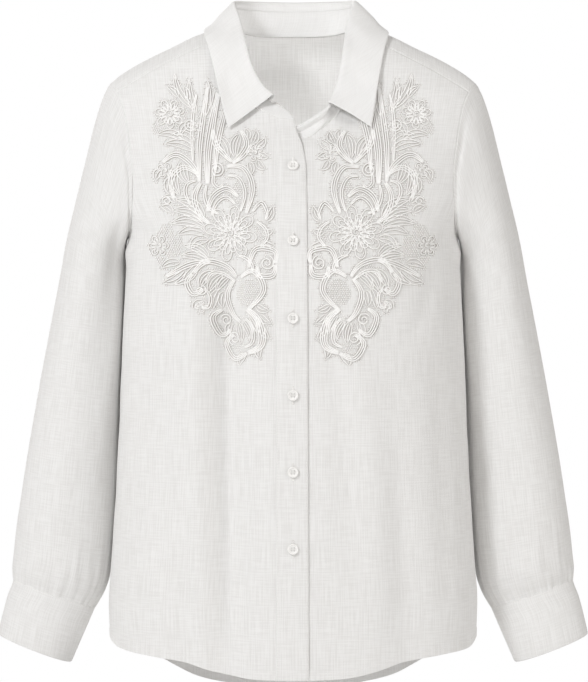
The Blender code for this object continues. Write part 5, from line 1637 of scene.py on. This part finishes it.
def make_floor():
    """A plain pale floor well below the shirt."""
    mesh = bpy.data.meshes.new("floor")
    half = FLOOR_HALF
    corners = ((-half, -half), (half, -half), (half, half), (-half, half))
    mesh.from_pydata([(x, y, FLOOR_HEIGHT) for x, y in corners], [], [(0, 1, 2, 3)])
    surface = {"Base Color": (*FLOOR_COLOUR, 1.0), "Roughness": FLOOR_ROUGHNESS}
    mesh.materials.append(new_finish("pale_floor", surface)[0])
    floor = bpy.data.objects.new("floor", mesh)
    bpy.context.scene.collection.objects.link(floor)


def button_mesh(finish):
    """A four-hole button with a rounded edge, a raised rim and a dished middle."""
    profile = np.array(BUTTON_PROFILE)
    turn = np.arange(BUTTON_SIDES) * 2 * math.pi / BUTTON_SIDES
    ring = np.stack([np.cos(turn), np.sin(turn)], axis=-1)
    points = [(0.0, 0.0, profile[0, 1])]
    for radius, height in profile[1:-1]:
        points += [(x * radius, y * radius, height) for x, y in ring]
    points.append((0.0, 0.0, profile[-1, 1]))
    rings = len(profile) - 2
    last = len(points) - 1
    faces = []
    for here in range(BUTTON_SIDES):
        after = (here + 1) % BUTTON_SIDES
        faces.append((0, 1 + after, 1 + here))
        for step in range(rings - 1):
            base = 1 + step * BUTTON_SIDES
            faces.append((base + here, base + after, base + BUTTON_SIDES + after, base + BUTTON_SIDES + here))
        base = 1 + (rings - 1) * BUTTON_SIDES
        faces.append((base + here, base + after, last))
    mesh = bpy.data.meshes.new("button_blank")
    mesh.from_pydata((np.array(points) * METRES).tolist(), [], faces)
    mesh.materials.append(finish)
    blank = bpy.data.objects.new("button_blank", mesh)
    bpy.context.scene.collection.objects.link(blank)
    cutters = bmesh.new()
    for x in (-BUTTON_HOLE_OFFSET, BUTTON_HOLE_OFFSET):
        for y in (-BUTTON_HOLE_OFFSET, BUTTON_HOLE_OFFSET):
            bmesh.ops.create_cone(
                cutters,
                cap_ends=True,
                segments=BUTTON_HOLE_SIDES,
                radius1=BUTTON_HOLE_RADIUS * METRES,
                radius2=BUTTON_HOLE_RADIUS * METRES,
                depth=BUTTON_HOLE_CUT * METRES,
                matrix=Matrix.Translation(Vector((x, y, BUTTON_HOLE_MIDDLE)) * METRES),
            )
    cutter_mesh = bpy.data.meshes.new("button_holes")
    cutters.to_mesh(cutter_mesh)
    cutters.free()
    cutter = bpy.data.objects.new("button_holes", cutter_mesh)
    bpy.context.scene.collection.objects.link(cutter)
    cut = blank.modifiers.new("holes", "BOOLEAN")
    cut.object = cutter
    cut.operation = "DIFFERENCE"
    bpy.context.view_layer.update()
    made = bpy.data.meshes.new_from_object(blank.evaluated_get(bpy.context.evaluated_depsgraph_get()))
    bpy.data.objects.remove(blank)
    bpy.data.objects.remove(cutter)
    made.shade_smooth()
    made.set_sharp_from_angle(angle=math.radians(BUTTON_SHARP_DEGREES))
    return made


def place_button(name, mesh, seat, way, thread):
    """A button that faces along a direction, its back at its seat, and the two bars of its thread."""
    turn = Vector(way).to_track_quat("Z", "Y").to_matrix()
    own = mesh.copy()
    own.transform(Matrix.Translation(Vector(seat) * METRES) @ turn.to_4x4())
    made = bpy.data.objects.new(name + "_shown", own)
    bpy.context.scene.collection.objects.link(made)
    placed(made, name)
    turn = np.array(turn)
    for x in (-BUTTON_HOLE_OFFSET, BUTTON_HOLE_OFFSET):
        reach = BUTTON_HOLE_OFFSET + THREAD_BAR_PAST
        bar = [(x, share * reach, BUTTON_DISH + rise) for share, rise in THREAD_BAR]
        points = np.array(bar) @ turn.T + seat
        thread.append((points, np.tile(way, (len(points), 1)), BUTTON_THREAD, 0.0))


def button_place(index):
    """A front button's place on the body's form, and the direction it faces."""
    height = np.array(BUTTON_FIRST_HEIGHT - index * BUTTON_PITCH)
    point = panel_points(arc_share(0.0, height, -1), height, -1)
    return point, body_normals(point)


def make_buttons(finish, cuff_laps, thread):
    mesh = button_mesh(finish)
    for index in range(BUTTON_COUNT):
        point, way = button_place(index)
        place_button(f"button_{index + 1}", mesh, point + way * BUTTON_SEAT, way, thread)
    for side, (point, way) in cuff_laps.items():
        place_button(f"cuff_button_{side}", mesh, point + way * CUFF_BUTTON_SEAT, way, thread)


def inset_line(outer, inner, edge, distance):
    """A line of points at a distance in from an edge of a panel, and the directions out of it."""
    ways = directions(outer - inner)
    grids = []
    for grid in (outer, ways):
        if edge in ("left", "right"):
            grid = np.moveaxis(grid, 1, 0)
        grids.append(grid[::-1] if edge in ("top", "right") else grid)
    grid, ways = grids
    steps = np.linalg.norm(np.diff(grid, axis=0), axis=-1)
    gone = np.concatenate([np.zeros((1, grid.shape[1])), np.cumsum(steps, axis=0)])
    columns = np.arange(grid.shape[1])
    row = np.clip((gone < distance).sum(axis=0), 1, grid.shape[0] - 1)
    before = gone[row - 1, columns]
    share = ((distance - before) / (gone[row, columns] - before))[:, None]
    line = grid[row - 1, columns] * (1 - share) + grid[row, columns] * share
    return line, directions(ways[row - 1, columns] * (1 - share) + ways[row, columns] * share)


def sew(thread, line, ways):
    """Stitches of even length along a line."""
    steps = np.linalg.norm(np.diff(line, axis=0), axis=1)
    gone = np.concatenate([[0.0], np.cumsum(steps)])
    for start in np.arange(STITCH_START, gone[-1] - STITCH, STITCH + STITCH_GAP):
        at = start + np.linspace(0.0, STITCH, len(STITCH_LIFTS))
        points = np.stack([np.interp(at, gone, line[:, axis]) for axis in range(3)], axis=-1)
        facing = directions(np.stack([np.interp(at, gone, ways[:, axis]) for axis in range(3)], axis=-1))
        lift = np.array(STITCH_LIFTS)[:, None]
        thread.append((points + facing * lift, facing, STITCH_RADIUS, 0.0))


def buttonhole(thread, point, way, along, length):
    """The close-stitched edge round a slit."""
    across = directions(np.cross(way, along))
    turn = np.linspace(0.0, 2 * math.pi, BUTTONHOLE_POINTS)
    long = np.clip(np.cos(turn) * BUTTONHOLE_SQUARE, -1.0, 1.0) * length / 2
    wide = np.sin(turn) * BUTTONHOLE_HALF_WIDTH
    points = point + long[:, None] * along + wide[:, None] * across
    points = points + way * BUTTONHOLE_RISE
    thread.append((points, np.tile(way, (len(points), 1)), BUTTONHOLE_CORD, 0.0))


def stand_buttonhole(thread, outer, inner):
    """The buttonhole along the stand's end, at the front vertex nearest its place."""
    away = np.hypot(outer[..., 0] - STAND_HOLE_PLACE[0], outer[..., 2] - STAND_HOLE_PLACE[1])
    away = away + np.maximum(outer[..., 1], 0.0)
    row, column = np.unravel_index(np.argmin(away), away.shape)
    way = directions(outer[row, column] - inner[row, column])
    along = directions(outer[row, column + STAND_HOLE_SPAN] - outer[row, column - STAND_HOLE_SPAN])
    buttonhole(thread, outer[row, column], way, along, STAND_BUTTONHOLE)


def shell_finish():
    return new_finish("button_shell", {"Base Color": (*SHELL, 1.0), "Roughness": SHELL_ROUGHNESS})[0]


def declare_sheet(outer, closed=False):
    """Joins a round piece's first column onto the end of its outer face; nothing is kept or given."""
    if closed:
        outer = np.concatenate([outer, outer[:, :1]], axis=1)


def sewn_piece(made, stitches, edges=(), distance=BAND_STITCH, closed=False):
    """Sews along a piece's edges and returns its two faces."""
    piece, outer, inner = made
    declare_sheet(outer, closed)
    for edge in edges:
        sew(stitches, *inset_line(outer, inner, edge, distance))
    return outer, inner


def cuff_lap(outer, inner):
    """Where a cuff's button sits on its lap, and the direction it faces."""
    column = int(CUFF_BUTTON_TURN / CUFF_STEP_DEGREES)
    middle = len(outer) // 2
    way = directions(outer[middle, column] - inner[middle, column])
    return (outer[0, column] + outer[-1, column]) / 2, way


def through(points, step=CORD_STEP):
    """A smooth line through a few points of the pattern, at even steps."""
    points = np.asarray(points, float)
    rough = at_places(points, np.linspace(0, len(points) - 1, LINE_DETAIL * len(points)))
    gone = np.concatenate([[0.0], np.cumsum(np.hypot(*np.diff(rough, axis=0).T))])
    count = max(3, int(gone[-1] / step) + 1)
    at = np.linspace(0.0, gone[-1], count)
    return np.stack([np.interp(at, gone, rough[:, 0]), np.interp(at, gone, rough[:, 1])], axis=-1)


def beside(line, off):
    """A line moved sideways, to the left of its way."""
    way = directions(np.gradient(line, axis=0))
    return line + np.stack([-way[:, 1], way[:, 0]], axis=-1) * np.reshape(off, (-1, 1))


def stem_lines():
    lines = []
    for strands, *places in STEMS.rows():
        line = through(np.reshape(places, (-1, 2)))
        share = np.linspace(0.0, 1.0, len(line))
        spread = STEM_END_SPREAD + (1 - STEM_END_SPREAD) * np.sin(math.pi * share)
        for strand in range(int(strands)):
            off = (strand - (strands - 1) / 2) * STRAND_GAP
            lines.append((beside(line, off * spread), CORD))
    return lines


def leaf_lines(base, tip, width, bow, ribs):
    """The two edges of a leaf, its vein and the ribs between."""
    base = np.asarray(base, float)
    tip = np.asarray(tip, float)
    way = tip - base
    side = directions(np.array([-way[1], way[0]]))
    middle = through([base, (base + tip) / 2 + side * bow, tip])
    share = np.linspace(0.0, 1.0, len(middle))
    half = width / 2 * np.sin(math.pi * share**LEAF_FULLNESS) ** LEAF_FULLNESS
    lines = [(beside(middle, half), FINE_CORD), (beside(middle, -half), FINE_CORD)]
    for rib in range(int(ribs)):
        place = (rib + 1) / (ribs + 1) * 2 - 1
        cut = slice(1, max(3, len(middle) - 2))
        lines.append((beside(middle, half * place)[cut], FINE_CORD))
    return lines


def flower_lines(middle, radius, petals, rows, turn):
    lines = []
    for row in range(int(rows)):
        outer = radius * (1 - FLOWER_ROW_LESS * row)
        inner = outer * FLOWER_HEART
        half = math.pi / petals
        for petal in range(int(petals)):
            way = math.radians(turn + row * 180 / petals) + 2 * half * petal
            for scale in PETAL_SCALES:
                angles = np.linspace(-1.0, 1.0, PETAL_POINTS)
                full = np.cos(angles * math.pi / 2) ** PETAL_FULLNESS
                reach = inner + (outer - inner) * full * scale
                wide = way + angles * half * PETAL_WIDTH * scale
                loop = np.stack([np.cos(wide) * reach, np.sin(wide) * reach], axis=-1)
                lines.append((through(loop + middle), FINE_CORD))
    return lines


def spiral_line(middle, radius, turns, start):
    turn = np.linspace(0.0, turns * 2 * math.pi, SPIRAL_POINTS + int(SPIRAL_POINTS_PER_TURN * turns))
    reach = radius * (1 - SPIRAL_CLOSING * turn / turn[-1])
    turn = turn + math.radians(start)
    return through(np.stack([np.cos(turn) * reach, np.sin(turn) * reach], axis=-1) + middle)


def pattern_lines():
    """Every cord of the pattern and how thick it is."""
    lines = stem_lines()
    for ribs, base_x, base_z, tip_x, tip_z, width, bow in LEAVES.rows():
        lines += leaf_lines((base_x, base_z), (tip_x, tip_z), width, bow, ribs)
    for x, z, radius, petals, rows, turn in FLOWERS.rows():
        lines += flower_lines(np.array([x, z]), radius, petals, rows, turn)
        for ring in FLOWER_RINGS:
            reach = radius * ring + FLOWER_RING_LEAST
            lines.append((spiral_line((x, z), reach, FLOWER_RING_TURNS, 0), FINE_CORD))
    for x, z, radius, turns, start in SPIRALS.rows():
        lines.append((spiral_line((x, z), radius, turns, start), CORD))
    return lines


def knot_places(cords):
    """Knots in rows set half a pitch apart, wherever the ground between the cords is bare."""
    draw = np.random.default_rng(KNOT_SEED)
    cells = {}
    for place in np.concatenate([line for line, _ in cords]):
        cells.setdefault(tuple((place // GROUND_FAR).astype(int)), []).append(place)
    (x_low, x_high), (z_low, z_high) = GROUND_REACH
    grounds = np.array(list(KNOT_GROUNDS.rows()))
    steps = [(dx, dz) for dx in (-1, 0, 1) for dz in (-1, 0, 1)]
    places = []
    for row, z in enumerate(np.arange(z_low, z_high, GROUND_PITCH * GROUND_ROW_SHARE)):
        for x in np.arange(x_low, x_high, GROUND_PITCH) + GROUND_PITCH / 2 * (row % 2):
            place = np.array([x, z]) + draw.uniform(-GROUND_SHIFT, GROUND_SHIFT, 2)
            cell = (place // GROUND_FAR).astype(int)
            near = [other for step in steps for other in cells.get(tuple(cell + step), ())]
            away = np.inf
            if near:
                away = np.sqrt(((np.array(near) - place) ** 2).sum(axis=1).min())
            if away > GROUND_NEAR and (away < GROUND_FAR * GROUND_CLOSE_SHARE or in_ground(place, grounds)):
                places.append(place)
    return np.array(places)


def in_ground(place, grounds):
    """Whether a place is inside one of the grounds, each an oval on its own tilt."""
    off = place - grounds[:, :2]
    turn = np.radians(grounds[:, 4])
    across = off[:, 0] * np.cos(turn) + off[:, 1] * np.sin(turn)
    along = off[:, 1] * np.cos(turn) - off[:, 0] * np.sin(turn)
    return bool(np.any((across / grounds[:, 2]) ** 2 + (along / grounds[:, 3]) ** 2 < 1.0))


def on_front(places, hand):
    """Points and directions of a front's cloth where the viewer sees the places of the pattern."""
    seen = np.asarray(places, float)
    real = seen
    for _ in range(VIEW_PASSES):
        share = arc_share(real[:, 0], real[:, 1], -1)
        depth = panel_points(share, real[:, 1], -1)[:, 1]
        near = ((VIEW_DISTANCE + depth) / VIEW_DISTANCE)[:, None]
        real = seen * near + np.array([0.0, VIEW_HEIGHT]) * (1 - near)
    points, normals, stands = front_cloth(arc_share(real[:, 0], real[:, 1], -1), real[:, 1], hand)
    points = points + normals * stands[:, None]
    turned = np.array([hand, 1.0, 1.0])
    return points * turned, normals * turned


def cord_mesh(points, normals, radius, sink):
    """A cord's rings of points and its quads, with closed ends. It lies half sunk in the cloth."""
    way = directions(np.gradient(points, axis=0))
    side = directions(np.cross(way, normals))
    share = np.linspace(0.0, 1.0, len(points))
    ends = np.minimum(1.0, np.minimum(share, 1 - share) * len(points) / CORD_TAPER_POINTS + CORD_TAPER)
    turn = (np.arange(CORD_SIDES) + 0.5) * 2 * math.pi / CORD_SIDES
    size = radius * ends[:, None, None]
    across = side[:, None] * np.cos(turn)[None, :, None]
    up = normals[:, None] * (np.sin(turn)[None, :, None] + sink)
    rings = points[:, None] + (across + up) * size
    count = len(points)
    here = np.arange(CORD_SIDES)
    base = np.arange(count - 1)[:, None] * CORD_SIDES
    a = (base + here).reshape(-1)
    b = (base + (here + 1) % CORD_SIDES).reshape(-1)
    quads = np.stack([a, b, b + CORD_SIDES, a + CORD_SIDES], axis=-1)
    half = CORD_SIDES // 2
    caps = []
    for start, flip in ((0, False), ((count - 1) * CORD_SIDES, True)):
        for step in range(half - 1):
            first = start + step
            last = start + CORD_SIDES - 1 - step
            cap = [first, last, last - 1, first + 1]
            caps.append(cap[::-1] if flip else cap)
    along = np.concatenate([[0.0], np.cumsum(np.linalg.norm(np.diff(points, axis=0), axis=1))])
    return rings.reshape(-1, 3), np.concatenate([quads, np.array(caps)]), along


def thread_piece(name, cords, finish):
    """One piece from many cords: points, directions, radius and how far each stands out."""
    all_points = []
    all_faces = []
    all_places = []
    start = 0
    for points, normals, radius, sink in cords:
        rings, faces, along = cord_mesh(points, normals, radius, sink)
        if volume_of(rings[faces] - rings.mean(axis=0)) < 0:
            faces = faces[:, ::-1]
        # The turn round each cord goes into its cloth coordinates, for the painted shade of its sides in the
        # thread finish
        turn = (np.arange(CORD_SIDES) + 0.5) * 2 * math.pi / CORD_SIDES
        place = np.stack([np.tile(turn, len(along)), np.repeat(along, CORD_SIDES)], axis=-1)
        all_points.append(rings)
        all_places.append(place[faces])
        all_faces.append(faces + start)
        start += len(rings)
    return add_mesh(name, np.concatenate(all_points), all_faces, all_places, finish, solid=True)


def knot_piece(name, points, normals, finish):
    """Small round knots: a low dome of two rings on each point."""
    sides = KNOT_SIDES
    turn = np.arange(sides) * 2 * math.pi / sides
    side = directions(np.cross(normals, np.array(KNOT_LEANING)))
    other = np.cross(normals, side)
    round_way = side[:, None] * np.cos(turn)[None, :, None] + other[:, None] * np.sin(turn)[None, :, None]
    rings = []
    for reach, height in KNOT_RINGS:
        rings.append(points[:, None] + (round_way * reach + normals[:, None] * height) * KNOT)
    shaped = np.stack(rings, axis=1).reshape(len(points), -1, 3)
    faces = []
    for ring in range(len(KNOT_RINGS) - 1):
        for i in range(sides):
            j = (i + 1) % sides
            faces.append((ring * sides + i, ring * sides + j, (ring + 1) * sides + j, (ring + 1) * sides + i))
    top = 2 * sides
    faces += [(top, top + 1, top + 2, top + 3), (top, top + 3, top + 4, top + 5)]
    faces += [(3, 2, 1, 0), (5, 4, 3, 0)]
    faces = np.array(faces)
    corners = shaped[0][faces] - points[0]
    if np.sum(np.cross(corners[:, 0], corners[:, 1]) * corners[:, 2]) < 0:
        faces = faces[:, ::-1]
    every = (faces[None] + (np.arange(len(points)) * 3 * sides)[:, None, None]).reshape(-1, 4)
    # Each ring's turn goes into its cloth coordinates, so the thread finish paints shade on the low rings and
    # leaves the top light
    heights = np.repeat(np.radians(KNOT_SHADE_ANGLES), sides)
    places = np.zeros((len(every), 4, 2))
    places[..., 0] = heights[every % (3 * sides)]
    return add_mesh(name, shaped.reshape(-1, 3), [every], [places], finish, solid=True)


def make_embroidery(right, lines, places, finish):
    hand = -1.0 if right else 1.0
    cords = []
    for line, radius in lines:
        points, normals = on_front(line, hand)
        cords.append((points, normals, radius, CORD_RISE))
    on_shirt(thread_piece(f"embroidery_{SIDES[right]}", cords, finish))
    points, normals = on_front(places, hand)
    on_shirt(knot_piece(f"knots_{SIDES[right]}", points, normals, finish))


def thread_finish():
    """Twisted thread, its own colour on its top, with painted shade on its sides where it meets the cloth."""
    made, shader, nodes, links = new_finish("embroidery_thread", THREAD_SURFACE)
    split = cloth_coordinates(nodes, links)[1]
    around = math_node(nodes, "MULTIPLY", split["X"], 1 / METRES)
    turned = math_node(nodes, "MULTIPLY", split["Y"], 2 * math.pi / (THREAD_TWIST * METRES))
    wave = math_node(nodes, "SINE", math_node(nodes, "ADD", around, turned))
    # Painted shade: by the turn round a cord, its sides and foot take the dark colour
    shade = ranged(nodes, links, math_node(nodes, "SINE", around), (THREAD_SIDE, THREAD_TOP), (1.0, 0.0))
    links.new(node_colour(nodes, THREAD, THREAD_PAINTED_SHADE, shade), shader.inputs["Base Color"])
    bumped(nodes, links, shader, wave, THREAD_RELIEF)
    return made


def make_scene():
    bpy.context.scene.view_settings.view_transform = "Standard"
    make_camera()
    make_world()
    make_floor()
    for light in LIGHTS:
        add_light(*light)
    body = linen("linen_body")
    collar = linen("linen_collar", light=COLLAR_LIGHT, slub=COLLAR_SLUB)
    stitches = []
    holes = []
    laps = {}
    hem = HEM_WIDTH - HEM_STITCH_IN
    for right in (True, False):
        sewn_piece(make_front(right, body), stitches, ("bottom",), hem)
        sewn_piece(make_sleeve(right, body), stitches, closed=True)
        faces = sewn_piece(make_cuff(right, body), stitches, ("bottom", "top", "left", "right"))
        laps[SIDES[right]] = cuff_lap(*faces)
    sewn_piece(make_back(body), stitches, ("bottom",), hem)
    sewn_piece(make_yoke(body), stitches, ("bottom", "top"))
    sewn_piece(make_band(body), stitches, ("left", "right"))
    for index in range(BUTTON_COUNT):
        point, way = button_place(index)
        buttonhole(holes, point + way * BAND_RISE, way, np.array([0.0, 0.0, 1.0]), BUTTONHOLE)
    faces = sewn_piece(make_stand(collar), stitches, ("top", "bottom", "left"))
    stand_buttonhole(holes, *faces)
    sewn_piece(make_fall(collar), stitches)
    thread = thread_finish()
    make_buttons(shell_finish(), laps, stitches)
    for name, cords in (("stitches", stitches), ("buttonholes", holes)):
        on_shirt(thread_piece(name, cords, thread))
    lines = pattern_lines()
    places = knot_places(lines)
    for right in (True, False):
        make_embroidery(right, lines, places, thread)


make_scene()
